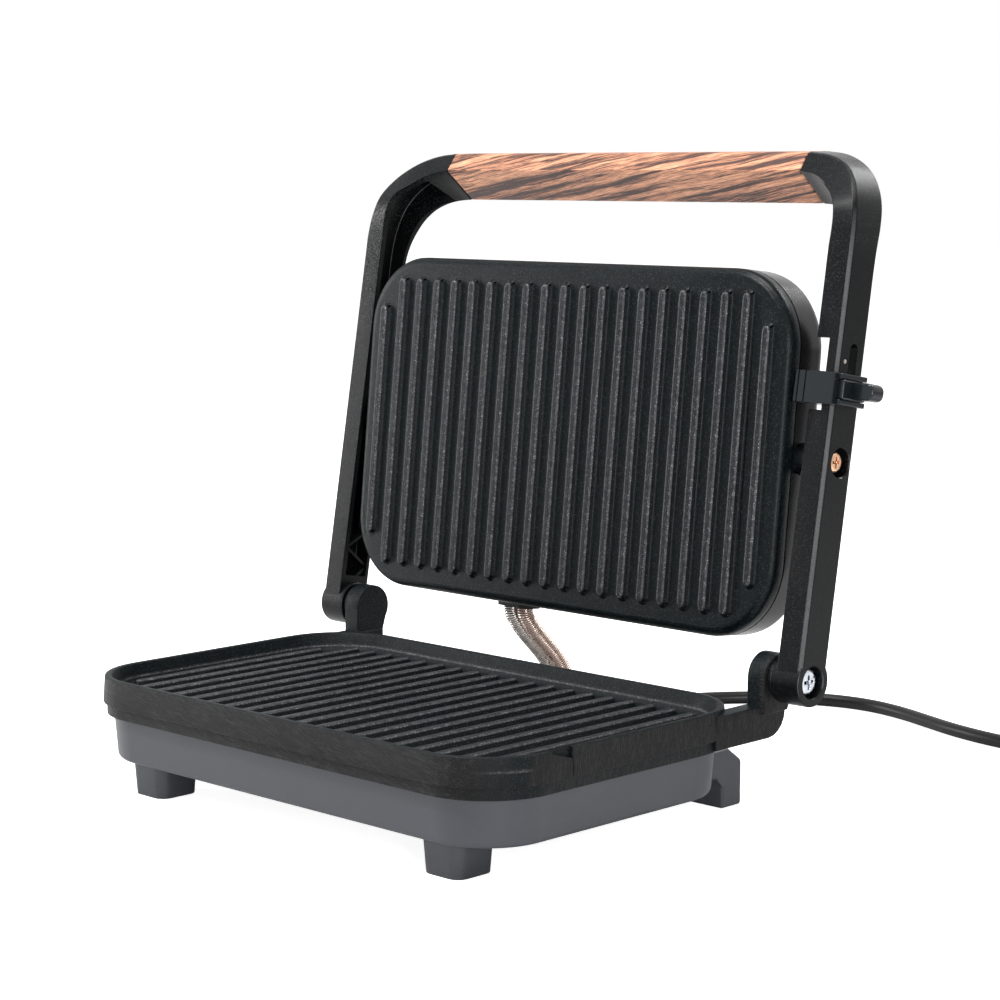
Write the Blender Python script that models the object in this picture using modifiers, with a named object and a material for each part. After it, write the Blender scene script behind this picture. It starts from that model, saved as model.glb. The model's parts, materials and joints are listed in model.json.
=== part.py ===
"""Panini press, open: ribbed cast plates, a pivoting handle frame with a wood grip, a floating upper
plate, a sliding storage latch, two flexible metal conduits and a mains lead. Metres, +Z up."""

import math

import bmesh
import bpy
from mathutils import Matrix, Vector

# Clearances
GAP = 0.0003  # between pieces that touch
BORE_GAP = 0.0003  # round a shank, all the way

# Lower casting: a shallow ribbed tray with two arms at its back for the hinge ears
TRAY_WIDTH = 0.232
TRAY_DEPTH = 0.1435
TRAY_CORNER = 0.030
RIM_Z = 0.0475
WALL_BOTTOM_Z = 0.0366
SEAM_Z = 0.0322
WALL_FLARE = 0.0006
LIP_INSET = 0.0009
RIM_THICKNESS = 0.0025
TRAY_FLOOR_Z = 0.0400
FLOOR_THICKNESS = 0.0035
RIB_COUNT = 21
RIB_PITCH = 0.0105
RIB_WIDTH = 0.0055
RIB_HEIGHT = 0.0026
RIB_END_MARGIN = 0.0085
SHORT_RIB_MARGIN = 0.0205

# Hinge
HINGE_Y = 0.0837
HINGE_Z = 0.0558
EAR_RADIUS = 0.0093
EAR_INNER_X = 0.1087
EAR_OUTER_X = 0.1172
WASHER_THICKNESS = 0.0017
HINGE_SCREW_RADIUS = 0.0027
HINGE_HEAD_RADIUS = 0.0050
HEAD_THICKNESS = 0.0026
HEAD_DEPTH = 0.0020  # head face below the arm's outer face

# Base housing and feet
HOUSING_TOP_INSET = 0.0035
HOUSING_BOTTOM_INSET = 0.0046
HOUSING_WALL = 0.0024
HOUSING_BOTTOM_Z = 0.0140
POST_X = 0.098
POST_Y = 0.030
POST_RADIUS = 0.0045
SMALL_SCREW_RADIUS = 0.0015
SMALL_HEAD_RADIUS = 0.0032
FOOT_SIZE = 0.0205
FRONT_FOOT_Y = -0.0505
LEFT_FOOT_X = -0.0855
RIGHT_FOOT_X = 0.0800
REAR_FOOT_BACK_Y = 0.0950
REAR_LEG_DEPTH = 0.0120

# Arms of the handle frame, in their own frame: x outwards, v backwards, u up the arm from the hinge
ARM_TILT = math.radians(9.83)
ARM_INNER_X = 0.1219
ARM_OUTER_X = 0.1329
ARM_FRONT_V = -0.0087
ARM_BACK_V = 0.0082
ARM_WEB = 0.0029
ARM_FLANGE = 0.0023
PIVOT_U = 0.0828
PIVOT_V = 0.0006
PIVOT_SCREW_RADIUS = 0.0024
PIVOT_HEAD_RADIUS = 0.0040
PIVOT_BOSS_RADIUS = 0.0059
GRIP_HALF = 0.0965
GRIP_CORE_RADIUS = 0.0045
GRIP_CORE_U = 0.1930
GRIP_CORE_V = 0.0135
GRIP_CORE_REACH = 0.0090  # into each arm

# Latch on the right arm
LATCH_U = 0.1097
LATCH_HEIGHT = 0.0122
LATCH_TRAVEL = 0.0125
LATCH_INNER_X = 0.1165
LATCH_FRONT_V = -0.0122
LATCH_PLATE = 0.0015
LATCH_PIN_END_X = 0.1463
LATCH_PIN_RADIUS = 0.0031
NOTCH_EDGE_X = 0.1278
SLOT_RADIUS = 0.0024
STUD_RADIUS = 0.0020
DETENT_V = -0.0042
DETENT_U = 0.1204

# Upper plate, in its own frame: x across, y backwards from the pivot axis, z up from the pivot axis
PLATE_TILT = math.radians(5.93)
PLATE_WIDTH = 0.2302
PLATE_HEIGHT = 0.1414
PLATE_CORNER = 0.030
PIVOT_SETBACK = 0.01377  # pivot axis behind the plate's face
PLATE_BAND = 0.0073
COVER_DEPTH = 0.0179
COVER_WALL = 0.0024
LUG_INNER_X = 0.1010
LUG_OUTER_X = 0.1120

# Flexible conduits: the middle line between the pair, from below the upper cover to the housing's rear wall
CONDUIT_RADIUS = 0.0034
CONDUIT_SPACING = 0.0076
COVER_CONDUIT_X = -0.0265
COVER_CONDUIT_SETBACK = -0.0003  # behind the pivot axis, in the plate's frame
BASE_CONDUIT_X = -0.0150
BASE_CONDUIT_Z = 0.0222
CONDUIT_ROUTE = (
    (-0.0255, 0.0920, 0.0585), (-0.0240, 0.0950, 0.0535), (-0.0222, 0.0988, 0.0485),
    (-0.0202, 0.1023, 0.0435), (-0.0185, 0.1048, 0.0385), (-0.0172, 0.1054, 0.0335),
    (-0.0163, 0.1035, 0.0285), (-0.0157, 0.0990, 0.0246), (-0.0153, 0.0930, 0.0226),
    (BASE_CONDUIT_X, 0.0860, BASE_CONDUIT_Z), (BASE_CONDUIT_X, 0.0780, BASE_CONDUIT_Z),
    (BASE_CONDUIT_X, 0.0700, BASE_CONDUIT_Z), (BASE_CONDUIT_X, 0.0610, BASE_CONDUIT_Z),
)

# Mains lead: drawn where it lies on the worktop; the rest of its length is wound in the coil
CORD_RADIUS = 0.0029
CORD_X = -0.0600
CORD_Z = 0.0230
CORD_ROUTE = (
    (-0.0600, 0.0640, 0.0230), (-0.0600, 0.0800, 0.0230), (-0.0600, 0.1000, 0.0229),
    (-0.0601, 0.1130, 0.0215), (-0.0606, 0.1270, 0.0170), (-0.0612, 0.1410, 0.0110),
    (-0.0612, 0.1540, 0.0062), (-0.0602, 0.1680, 0.0036), (-0.0580, 0.1830, 0.0030),
    (-0.0535, 0.2000, 0.0030), (-0.0465, 0.2170, 0.0030), (-0.0370, 0.2330, 0.0030),
    (-0.0240, 0.2480, 0.0030), (-0.0090, 0.2600, 0.0030), (0.0080, 0.2675, 0.0030),
    (0.0250, 0.2695, 0.0030), (0.0430, 0.2665, 0.0030), (0.0610, 0.2605, 0.0030),
    (0.0780, 0.2545, 0.0030), (0.0940, 0.2505, 0.0030), (0.1080, 0.2485, 0.0030),
    (0.1230, 0.2480, 0.0030), (0.1454, 0.2492, 0.0030),
)
COIL_CENTRE = (0.1640, 0.2805)
COIL_RADIUS = 0.0310
COIL_TURNS = 2.25
PLUG_CENTRE = (0.1950, 0.3255)

# The origin sits under the middle of the whole press
CENTRE_X = 0.0067
CENTRE_Y = 0.03454

MATERIALS = {}
PRESS = None
CUTTERS = None


# ---------------------------------------------------------------- helpers


def clear_scene():
    for obj in list(bpy.data.objects):
        bpy.data.objects.remove(obj, do_unlink=True)


def new_collection(name):
    collection = bpy.data.collections.new(name)
    bpy.context.scene.collection.children.link(collection)
    return collection


def add_material(name, colour, roughness, metallic):
    material = bpy.data.materials.new(name)
    material.use_nodes = True
    shader = material.node_tree.nodes["Principled BSDF"]
    shader.inputs["Base Color"].default_value = (*colour, 1.0)
    shader.inputs["Roughness"].default_value = roughness
    shader.inputs["Metallic"].default_value = metallic
    MATERIALS[name] = material


def to_collection(obj, collection):
    for holder in list(obj.users_collection):
        holder.objects.unlink(obj)
    collection.objects.link(obj)


def finish(obj, material, smooth=False):
    """Names the object's material and puts it among the press's own pieces."""
    obj.data.materials.clear()
    obj.data.materials.append(MATERIALS[material])
    for face in obj.data.polygons:
        face.use_smooth = smooth
    to_collection(obj, PRESS)
    return obj


def helper(obj, target):
    """Hides a cutter or an added shape, and ties it to the piece that uses it."""
    to_collection(obj, CUTTERS)
    obj.hide_render = True
    obj.display_type = "WIRE"
    obj.parent = target


def boolean(target, other, operation):
    helper(other, target)
    modifier = target.modifiers.new(other.name, "BOOLEAN")
    modifier.operation = operation
    modifier.solver = "EXACT"
    modifier.object = other
    return target


def cut(target, cutter):
    return boolean(target, cutter, "DIFFERENCE")


def fuse(target, piece):
    return boolean(target, piece, "UNION")


def new_mesh_object(name, mesh):
    obj = bpy.data.objects.new(name, mesh)
    bpy.context.scene.collection.objects.link(obj)
    return obj


def mesh_of(flat, merge):
    """The solid of a curve object as a mesh with its seams closed. The curve is removed."""
    bpy.context.view_layer.update()
    graph = bpy.context.evaluated_depsgraph_get()
    mesh = bpy.data.meshes.new_from_object(flat.evaluated_get(graph))
    bm = bmesh.new()
    bm.from_mesh(mesh)
    bmesh.ops.remove_doubles(bm, verts=bm.verts, dist=merge)
    bmesh.ops.recalc_face_normals(bm, faces=bm.faces)
    bm.to_mesh(mesh)
    bm.free()
    bpy.data.objects.remove(flat, do_unlink=True)
    return mesh


def extruded(name, outline, low, high, axis="Z"):
    """An outline given thickness. Axis Z takes (x, y) points, X takes (y, z) and Y takes (x, z)."""
    curve = bpy.data.curves.new(name, "CURVE")
    curve.dimensions = "2D"
    curve.fill_mode = "BOTH"
    curve.extrude = (high - low) / 2
    spline = curve.splines.new("POLY")
    spline.points.add(len(outline) - 1)
    for point, (across, along) in zip(spline.points, outline):
        point.co = (across, along, 0.0, 1.0)
    spline.use_cyclic_u = True
    flat = bpy.data.objects.new(name, curve)
    bpy.context.scene.collection.objects.link(flat)
    mesh = mesh_of(flat, 0.00001)
    middle = (low + high) / 2
    turns = {
        "Z": Matrix(((1, 0, 0, 0), (0, 1, 0, 0), (0, 0, 1, middle), (0, 0, 0, 1))),
        "X": Matrix(((0, 0, 1, middle), (1, 0, 0, 0), (0, 1, 0, 0), (0, 0, 0, 1))),
        "Y": Matrix(((1, 0, 0, 0), (0, 0, -1, middle), (0, 1, 0, 0), (0, 0, 0, 1))),
    }
    mesh.transform(turns[axis])
    return new_mesh_object(name, mesh)


def rounded_rectangle(half_x, half_y, radius, steps=6):
    """Outline points of a rectangle with round corners, counter-clockwise."""
    points = []
    for turn, (sx, sy) in enumerate(((1, 1), (-1, 1), (-1, -1), (1, -1))):
        centre = (sx * (half_x - radius), sy * (half_y - radius))
        for step in range(steps + 1):
            angle = math.radians(90 * (turn + step / steps))
            points.append((centre[0] + radius * math.cos(angle), centre[1] + radius * math.sin(angle)))
    return points


def drafted(name, half_x, half_y, radius, low, high, grow_low=0.0, steps=6):
    """A rounded block along Z whose lower end is larger by grow_low on every side."""
    obj = extruded(name, rounded_rectangle(half_x, half_y, radius, steps), low, high)
    middle = (low + high) / 2
    for vertex in obj.data.vertices:
        if vertex.co.z < middle:
            vertex.co.x *= 1 + grow_low / half_x
            vertex.co.y *= 1 + grow_low / half_y
    return obj


def block(name, x, y, z):
    """A box between two values on each axis."""
    centre = [(pair[0] + pair[1]) / 2 for pair in (x, y, z)]
    bpy.ops.mesh.primitive_cube_add(size=1, location=centre)
    obj = bpy.context.object
    obj.name = name
    obj.scale = [pair[1] - pair[0] for pair in (x, y, z)]
    bpy.ops.object.transform_apply(location=True, rotation=False, scale=True)
    return obj


def cylinder(name, radius, low, high, centre, axis="X", sides=24):
    """A cylinder along an axis, centred on the other two coordinates."""
    middle = (low + high) / 2
    place = {
        "X": ((middle, centre[0], centre[1]), (0, math.pi / 2, 0)),
        "Y": ((centre[0], middle, centre[1]), (math.pi / 2, 0, 0)),
        "Z": ((centre[0], centre[1], middle), (0, 0, 0)),
    }[axis]
    bpy.ops.mesh.primitive_cylinder_add(
        vertices=sides, radius=radius, depth=high - low, location=place[0], rotation=place[1]
    )
    obj = bpy.context.object
    obj.name = name
    bpy.ops.object.transform_apply(location=True, rotation=True, scale=True)
    return obj


def turned(name, profile, place, steps=24):
    """A profile of (radius, height) points, from its top down, turned round and put at place."""
    mesh = bpy.data.meshes.new(name)
    count = len(profile)
    closed = profile[0][0] > 0 and profile[-1][0] > 0
    edges = [(index, index + 1) for index in range(count - 1)]
    if closed:
        edges.append((count - 1, 0))
    mesh.from_pydata([(radius, 0.0, height) for radius, height in profile], edges, [])
    obj = new_mesh_object(name, mesh)
    screw = obj.modifiers.new("Turn", "SCREW")
    screw.steps = steps
    screw.render_steps = steps
    screw.use_merge_vertices = True
    screw.merge_threshold = 0.00001
    obj.matrix_world = place
    return obj


def along_x(x, y, z, sign=1):
    """A frame at a point whose +Z runs outwards along X."""
    return Matrix.Translation((x, y, z)) @ Matrix.Rotation(sign * math.pi / 2, 4, "Y")


def tube(name, points, radius, resolution=2):
    """A round tube through points, with flat ends."""
    curve = bpy.data.curves.new(name, "CURVE")
    curve.dimensions = "3D"
    curve.bevel_depth = radius
    curve.bevel_resolution = resolution
    curve.use_fill_caps = True
    spline = curve.splines.new("POLY")
    spline.points.add(len(points) - 1)
    for point, place in zip(spline.points, points):
        point.co = (*place, 1.0)
    wire = bpy.data.objects.new(name, curve)
    bpy.context.scene.collection.objects.link(wire)
    return new_mesh_object(name, mesh_of(wire, 0.00001))


def smooth_route(points, spacing):
    """Points at even spacing along a smooth curve through the given points."""
    places = [Vector(point) for point in points]
    places = [places[0] * 2 - places[1]] + places + [places[-1] * 2 - places[-2]]
    fine = []
    for index in range(1, len(places) - 2):
        before, start, end, after = places[index - 1:index + 3]
        for step in range(20):
            t = step / 20
            fine.append(
                0.5 * (2 * start + (end - before) * t
                       + (2 * before - 5 * start + 4 * end - after) * t * t
                       + (3 * start - before - 3 * end + after) * t * t * t)
            )
    fine.append(places[-2])
    length = sum((b - a).length for a, b in zip(fine, fine[1:]))
    count = max(2, round(length / spacing))
    route = [fine[0]]
    walked = 0.0
    for a, b in zip(fine, fine[1:]):
        part = (b - a).length
        while len(route) < count and walked + part >= length * len(route) / count:
            route.append(a.lerp(b, (length * len(route) / count - walked) / part))
        walked += part
    route.append(fine[-1])
    return route


def loft(name, sections):
    """A closed solid through outlines with equal numbers of points. These sections differ in shape."""
    bm = bmesh.new()
    rings = [[bm.verts.new(point) for point in section] for section in sections]
    count = len(rings[0])
    for lower, upper in zip(rings, rings[1:]):
        for index in range(count):
            after = (index + 1) % count
            bm.faces.new((lower[index], lower[after], upper[after], upper[index]))
    bm.faces.new(list(reversed(rings[0])))
    bm.faces.new(rings[-1])
    bmesh.ops.triangulate(bm, faces=bm.faces)
    bmesh.ops.recalc_face_normals(bm, faces=bm.faces)
    mesh = bpy.data.meshes.new(name)
    bm.to_mesh(mesh)
    bm.free()
    return new_mesh_object(name, mesh)


def add_bevel(obj, width, segments=2, angle=40):
    bevel = obj.modifiers.new("Rounding", "BEVEL")
    bevel.width = width
    bevel.segments = segments
    bevel.limit_method = "ANGLE"
    bevel.angle_limit = math.radians(angle)
    bevel.use_clamp_overlap = True
    return obj


def joined(name, pieces):
    """Several separate shapes in one object."""
    with bpy.context.temp_override(active_object=pieces[0], selected_editable_objects=pieces):
        bpy.ops.object.join()
    pieces[0].name = name
    return pieces[0]


def span(sign, low, high):
    """Two x values on the chosen side of the press, in rising order."""
    return (low, high) if sign > 0 else (-high, -low)


# ---------------------------------------------------------------- shared shapes


def ribs(name, half_length, short_half, base, height, axis):
    """A row of round-topped cooking ribs. Their feet sink 0.5 mm into the casting."""
    half = RIB_WIDTH / 2
    profile = [(-half, -0.0005), (half, -0.0005), (half, 0.0), (half * 0.80, height * 0.62),
               (half * 0.38, height * 0.95), (-half * 0.38, height * 0.95),
               (-half * 0.80, height * 0.62), (-half, 0.0)]
    pieces = []
    for index in range(RIB_COUNT):
        middle = (index - (RIB_COUNT - 1) / 2) * RIB_PITCH
        reach = short_half if index in (0, RIB_COUNT - 1) else half_length
        outline = [(middle + across, up) for across, up in profile]
        rib = extruded(f"{name}_{index}", outline, -reach, reach, "Y")
        for vertex in rib.data.vertices:
            if vertex.co.z > 0.0001:
                vertex.co.y -= math.copysign(vertex.co.z * 0.9, vertex.co.y)
        pieces.append(rib)
    row = joined(name, pieces)
    if axis == "up":
        row.data.transform(Matrix.Translation((0, 0, base)))
    else:
        row.data.transform(Matrix(((1, 0, 0, 0), (0, 0, -1, base), (0, 1, 0, 0), (0, 0, 0, 1))))
    return row


def cross_recess(name, depth, width, reach):
    """The two crossed bars of a cross-head recess, sunk from z = 0 down."""
    first = block(name + "_a", (-reach, reach), (-width / 2, width / 2), (-depth, depth))
    second = block(name + "_b", (-width / 2, width / 2), (-reach, reach), (-depth * 0.98, depth * 1.02))
    return first, second


def machine_screw(name, head_radius, head_thickness, shank_radius, shank_length, place, material, sides=24):
    """A pan-head screw whose head face is at the frame's origin and whose shank points down its -Z."""
    profile = [
        (0.0, 0.0),
        (head_radius * 0.72, 0.0),
        (head_radius * 0.94, -head_thickness * 0.18),
        (head_radius, -head_thickness * 0.45),
        (head_radius, -head_thickness),
        (shank_radius, -head_thickness),
        (shank_radius, -head_thickness - shank_length + shank_radius * 0.5),
        (shank_radius * 0.55, -head_thickness - shank_length),
        (0.0, -head_thickness - shank_length),
    ]
    screw = turned(name, profile, place, sides)
    reach = head_radius * 0.55
    for bar in cross_recess(name + "_recess", head_thickness * 0.55, head_radius * 0.24, reach):
        cut(screw, bar)
    return finish(screw, material, smooth=False)


# ---------------------------------------------------------------- base


def ear_outline():
    """Side view of the web that carries a hinge ear, as (y, z) points."""
    return [
        (HINGE_Y - EAR_RADIUS, 0.0440), (HINGE_Y + 0.0055, 0.0440), (HINGE_Y + EAR_RADIUS, HINGE_Z),
        (HINGE_Y - EAR_RADIUS, HINGE_Z),
    ]


def rear_arm_outline():
    """Side view of the casting's arm behind the tray, as (y, z) points."""
    return [
        (0.0480, 0.0327), (0.0737, 0.0327), (0.0785, 0.0350), (0.0857, 0.0396), (0.0892, 0.0430),
        (0.0892, 0.0457), (0.0480, 0.0457),
    ]


def lower_plate():
    half_x = TRAY_WIDTH / 2
    half_y = TRAY_DEPTH / 2
    plate = drafted("lower_plate", half_x, half_y, TRAY_CORNER, WALL_BOTTOM_Z, RIM_Z, WALL_FLARE, 8)
    lip = drafted("lower_plate_lip", half_x - LIP_INSET, half_y - LIP_INSET, TRAY_CORNER - LIP_INSET,
                  SEAM_Z, WALL_BOTTOM_Z + 0.0020, 0.0, 8)
    fuse(plate, lip)
    for side, sign in (("left", -1), ("right", 1)):
        rear = extruded(f"lower_plate_rear_{side}", rear_arm_outline(),
                        *span(sign, half_x - 0.0080, half_x - 0.0001), "X")
        fuse(plate, rear)
        web = extruded(f"lower_plate_web_{side}", ear_outline(), *span(sign, EAR_INNER_X, EAR_OUTER_X), "X")
        fuse(plate, web)
        ear = cylinder(f"lower_plate_ear_{side}", EAR_RADIUS, *span(sign, EAR_INNER_X, EAR_OUTER_X),
                       (HINGE_Y, HINGE_Z), sides=32)
        fuse(plate, ear)
    under = drafted("lower_plate_under", half_x - 0.0050, half_y - 0.0050, TRAY_CORNER - 0.0050,
                    SEAM_Z - 0.0010, TRAY_FLOOR_Z - FLOOR_THICKNESS)
    cut(plate, under)
    for number, (sx, sy) in enumerate(((-1, -1), (1, -1), (-1, 1), (1, 1))):
        add_post(plate, number, (sx * POST_X, sy * POST_Y))
    inner = drafted("lower_plate_tray", half_x - RIM_THICKNESS, half_y - RIM_THICKNESS,
                    TRAY_CORNER - RIM_THICKNESS, TRAY_FLOOR_Z, RIM_Z + 0.0010, -0.0025, 8)
    cut(plate, inner)
    long_rib = half_y - RIB_END_MARGIN - 0.0010
    short_rib = half_y - SHORT_RIB_MARGIN - 0.0010
    fuse(plate, ribs("lower_plate_ribs", long_rib, short_rib, TRAY_FLOOR_Z, RIB_HEIGHT, "up"))
    for side, sign in (("left", -1), ("right", 1)):
        bore = cylinder(f"lower_plate_bore_{side}", HINGE_SCREW_RADIUS + BORE_GAP,
                        *span(sign, EAR_INNER_X + 0.0010, EAR_OUTER_X + 0.0020), (HINGE_Y, HINGE_Z))
        cut(plate, bore)
    cut(plate, rim_notch())
    return finish(plate, "cast_black")


def add_post(plate, number, place):
    """A hollow post under the tray that one of the base screws runs up into."""
    post = cylinder(f"lower_plate_post_{number}", POST_RADIUS, HOUSING_BOTTOM_Z + HOUSING_WALL + GAP,
                    TRAY_FLOOR_Z - 0.0010, place, "Z", 16)
    fuse(plate, post)
    hole = cylinder(f"lower_plate_post_{number}_hole", SMALL_SCREW_RADIUS + BORE_GAP, HOUSING_BOTTOM_Z,
                    TRAY_FLOOR_Z - 0.0060, place, "Z", 12)
    cut(plate, hole)


def rim_notch():
    """The shallow nick in the right rim that the storage latch meets."""
    outline = [(-0.0410, 0.0490), (-0.0406, 0.0470), (-0.0381, 0.0458), (-0.0325, 0.0435),
               (-0.0304, 0.0432), (-0.0300, 0.0490)]
    return extruded("lower_plate_notch", outline, TRAY_WIDTH / 2 - 0.0014, TRAY_WIDTH / 2 + 0.0020, "X")


def base_housing():
    half_x = TRAY_WIDTH / 2 - HOUSING_TOP_INSET
    half_y = TRAY_DEPTH / 2 - HOUSING_TOP_INSET
    grow = HOUSING_TOP_INSET - HOUSING_BOTTOM_INSET
    corner = TRAY_CORNER - HOUSING_TOP_INSET
    top = SEAM_Z - GAP
    housing = drafted("base_housing", half_x, half_y, corner, HOUSING_BOTTOM_Z, top, grow, 8)
    inside = drafted("base_housing_inside", half_x - HOUSING_WALL, half_y - HOUSING_WALL,
                     corner - HOUSING_WALL, HOUSING_BOTTOM_Z + HOUSING_WALL, top + 0.0010, grow, 8)
    cut(housing, inside)
    for number, (sx, sy) in enumerate(((-1, -1), (1, -1), (-1, 1), (1, 1))):
        hole = cylinder(f"base_housing_hole_{number}", SMALL_SCREW_RADIUS + BORE_GAP,
                        HOUSING_BOTTOM_Z - 0.0010, HOUSING_BOTTOM_Z + 0.0040,
                        (sx * POST_X, sy * POST_Y), "Z", 12)
        cut(housing, hole)
    cord_hole = cylinder("base_housing_cord_hole", 0.0052, 0.0600, 0.0720, (CORD_X, CORD_Z), "Y", 20)
    cut(housing, cord_hole)
    outline = [(BASE_CONDUIT_X + x, BASE_CONDUIT_Z + z)
               for x, z in rounded_rectangle(0.0090, 0.0052, 0.0050, 4)]
    cut(housing, extruded("base_housing_conduit_hole", outline, 0.0600, 0.0720, "Y"))
    for number in range(6):
        x = -0.0300 + 0.0120 * number
        slot = block(f"base_housing_vent_{number}", (x - 0.0015, x + 0.0015), (-0.0180, 0.0180),
                     (HOUSING_BOTTOM_Z - 0.0010, HOUSING_BOTTOM_Z + 0.0040))
        cut(housing, slot)
    return finish(housing, "grey_plastic")


def base_screws():
    for number, (sx, sy) in enumerate(((-1, -1), (1, -1), (-1, 1), (1, 1))):
        face = HOUSING_BOTTOM_Z - GAP - 0.0020
        place = Matrix.Translation((sx * POST_X, sy * POST_Y, face)) @ Matrix.Rotation(math.pi, 4, "X")
        machine_screw(f"base_screw_{number + 1}", SMALL_HEAD_RADIUS, 0.0020, SMALL_SCREW_RADIUS, 0.0130,
                      place, "zinc", 16)


def front_foot(name, x):
    foot = drafted(name, FOOT_SIZE / 2, FOOT_SIZE / 2, 0.0050, 0.0, HOUSING_BOTTOM_Z - GAP, -0.0009, 4)
    foot.data.transform(Matrix.Translation((x, FRONT_FOOT_Y, 0)))
    hollow = drafted(name + "_hollow", FOOT_SIZE / 2 - 0.0030, FOOT_SIZE / 2 - 0.0030, 0.0025,
                     0.0030, HOUSING_BOTTOM_Z, 0.0, 2)
    hollow.data.transform(Matrix.Translation((x, FRONT_FOOT_Y, 0)))
    cut(foot, hollow)
    return finish(foot, "foot_plastic")


def rear_foot(name, x):
    wall = TRAY_DEPTH / 2 - HOUSING_BOTTOM_INSET + 0.0009
    front = REAR_FOOT_BACK_Y - REAR_LEG_DEPTH
    outline = [(wall, 0.0145), (front - 0.0030, 0.0120), (front, 0.0090), (front, 0.0),
               (REAR_FOOT_BACK_Y, 0.0), (REAR_FOOT_BACK_Y, 0.0180), (REAR_FOOT_BACK_Y - 0.0077, 0.0235),
               (wall, 0.0235)]
    foot = extruded(name, outline, x - FOOT_SIZE / 2, x + FOOT_SIZE / 2, "X")
    add_bevel(foot, 0.0012, 2, 50)
    return finish(foot, "foot_plastic")


def lower_element():
    z = TRAY_FLOOR_Z - FLOOR_THICKNESS - GAP - 0.0030
    outline = [(0.014, 0.050, z), (0.050, 0.050, z), (0.066, 0.040, z), (0.072, 0.025, z),
               (0.072, -0.020, z), (0.062, -0.038, z), (0.040, -0.045, z), (0.0, -0.045, z)]
    route = outline + [(-x, y, height) for x, y, height in reversed(outline[:-1])]
    element = tube("lower_heating_element", smooth_route(route, 0.012), 0.0030, 2)
    return finish(element, "steel_dull", smooth=True)


def lower_thermostat():
    top = TRAY_FLOOR_Z - FLOOR_THICKNESS - GAP
    body = cylinder("lower_thermostat", 0.0080, top - 0.0090, top, (0.0, 0.0), "Z", 20)
    stem = cylinder("lower_thermostat_stem", 0.0040, top - 0.0125, top - 0.0080, (0.0, 0.0), "Z", 12)
    fuse(body, stem)
    return finish(body, "ceramic_white")


def terminal_block():
    low = HOUSING_BOTTOM_Z + HOUSING_WALL + GAP
    body = block("terminal_block", (-0.0520, -0.0240), (0.0260, 0.0400), (low, low + 0.0110))
    for number in range(3):
        x = -0.0470 + 0.0090 * number
        well = cylinder(f"terminal_block_well_{number}", 0.0024, low + 0.0060, low + 0.0130,
                        (x, 0.0330), "Z", 12)
        cut(body, well)
    return finish(body, "ceramic_white")


# ---------------------------------------------------------------- mains lead and conduits


def cord_gland():
    """A tapered strain relief that sits in the housing's rear wall, with a bore for the lead."""
    wall_out = TRAY_DEPTH / 2 - HOUSING_BOTTOM_INSET + 0.0008
    bore = CORD_RADIUS + GAP
    profile = [
        (bore, 0.0300), (bore + 0.0011, 0.0300), (0.0047, 0.0120), (0.0054, 0.0030), (0.0070, 0.0026),
        (0.0070, 0.0006), (0.0048, 0.0006), (0.0048, -0.0034), (0.0062, -0.0034), (0.0062, -0.0050),
        (bore, -0.0050),
    ]
    place = Matrix.Translation((CORD_X, wall_out, CORD_Z)) @ Matrix.Rotation(-math.pi / 2, 4, "X")
    gland = turned("cord_gland", profile, place, 20)
    return finish(gland, "rubber_black", smooth=False)


def power_cord():
    cord = tube("power_cord", smooth_route(CORD_ROUTE, 0.0085), CORD_RADIUS, 2)
    return finish(cord, "cord_black", smooth=True)


def cord_coil():
    """The length of lead that is not laid out, wound in a stack of turns."""
    low = CORD_RADIUS + 0.0002
    high = low + 2 * CORD_RADIUS * COIL_TURNS
    outer_top = [(COIL_RADIUS + CORD_RADIUS * math.cos(math.radians(a)),
                  high + CORD_RADIUS * math.sin(math.radians(a))) for a in (90, 60, 30, 0)]
    outer_low = [(COIL_RADIUS + CORD_RADIUS * math.cos(math.radians(a)),
                  low + CORD_RADIUS * math.sin(math.radians(a))) for a in (0, -30, -60, -90)]
    inner_low = [(2 * COIL_RADIUS - radius, height) for radius, height in reversed(outer_low[:-1])]
    inner_top = [(2 * COIL_RADIUS - radius, height) for radius, height in reversed(outer_top[1:])]
    profile = outer_top + outer_low + inner_low + inner_top
    coil = turned("cord_coil", profile, Matrix.Translation((*COIL_CENTRE, 0)), 32)
    return finish(coil, "cord_black", smooth=True)


def plug():
    x, y = PLUG_CENTRE
    body = block("plug_body", (x - 0.0130, x + 0.0130), (y - 0.0210, y + 0.0190), (0.0002, 0.0242))
    for vertex in body.data.vertices:
        if vertex.co.y < y:
            vertex.co.x = x + (vertex.co.x - x) * 0.62
            vertex.co.z = 0.0122 + (vertex.co.z - 0.0122) * 0.62
    add_bevel(body, 0.0030, 2, 30)
    face = y + 0.0190
    for name, offset in (("left", -0.0064), ("right", 0.0064)):
        slot = block(f"plug_slot_{name}", (x + offset - 0.0011, x + offset + 0.0011),
                     (face - 0.0060, face + 0.0020), (0.0122 - 0.0035, 0.0122 + 0.0035))
        cut(body, slot)
        blade = block(f"plug_blade_{name}", (x + offset - 0.0008, x + offset + 0.0008),
                      (face - 0.0057, face + 0.0160), (0.0122 - 0.0032, 0.0122 + 0.0032))
        finish(blade, "nickel")
    earth_z = 0.0122 + 0.0078
    hole = cylinder("plug_earth_hole", 0.0027, face - 0.0060, face + 0.0020, (x, earth_z - 0.0006), "Y", 16)
    cut(body, hole)
    pin = cylinder("plug_earth_pin", 0.0023, face - 0.0057, face + 0.0180, (x, earth_z - 0.0006), "Y", 16)
    add_bevel(pin, 0.0010, 2, 40)
    finish(pin, "nickel")
    return finish(body, "rubber_black")


def conduit_sides(middle):
    """The x of each conduit of the pair."""
    return (("left", middle - CONDUIT_SPACING / 2), ("right", middle + CONDUIT_SPACING / 2))


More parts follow.
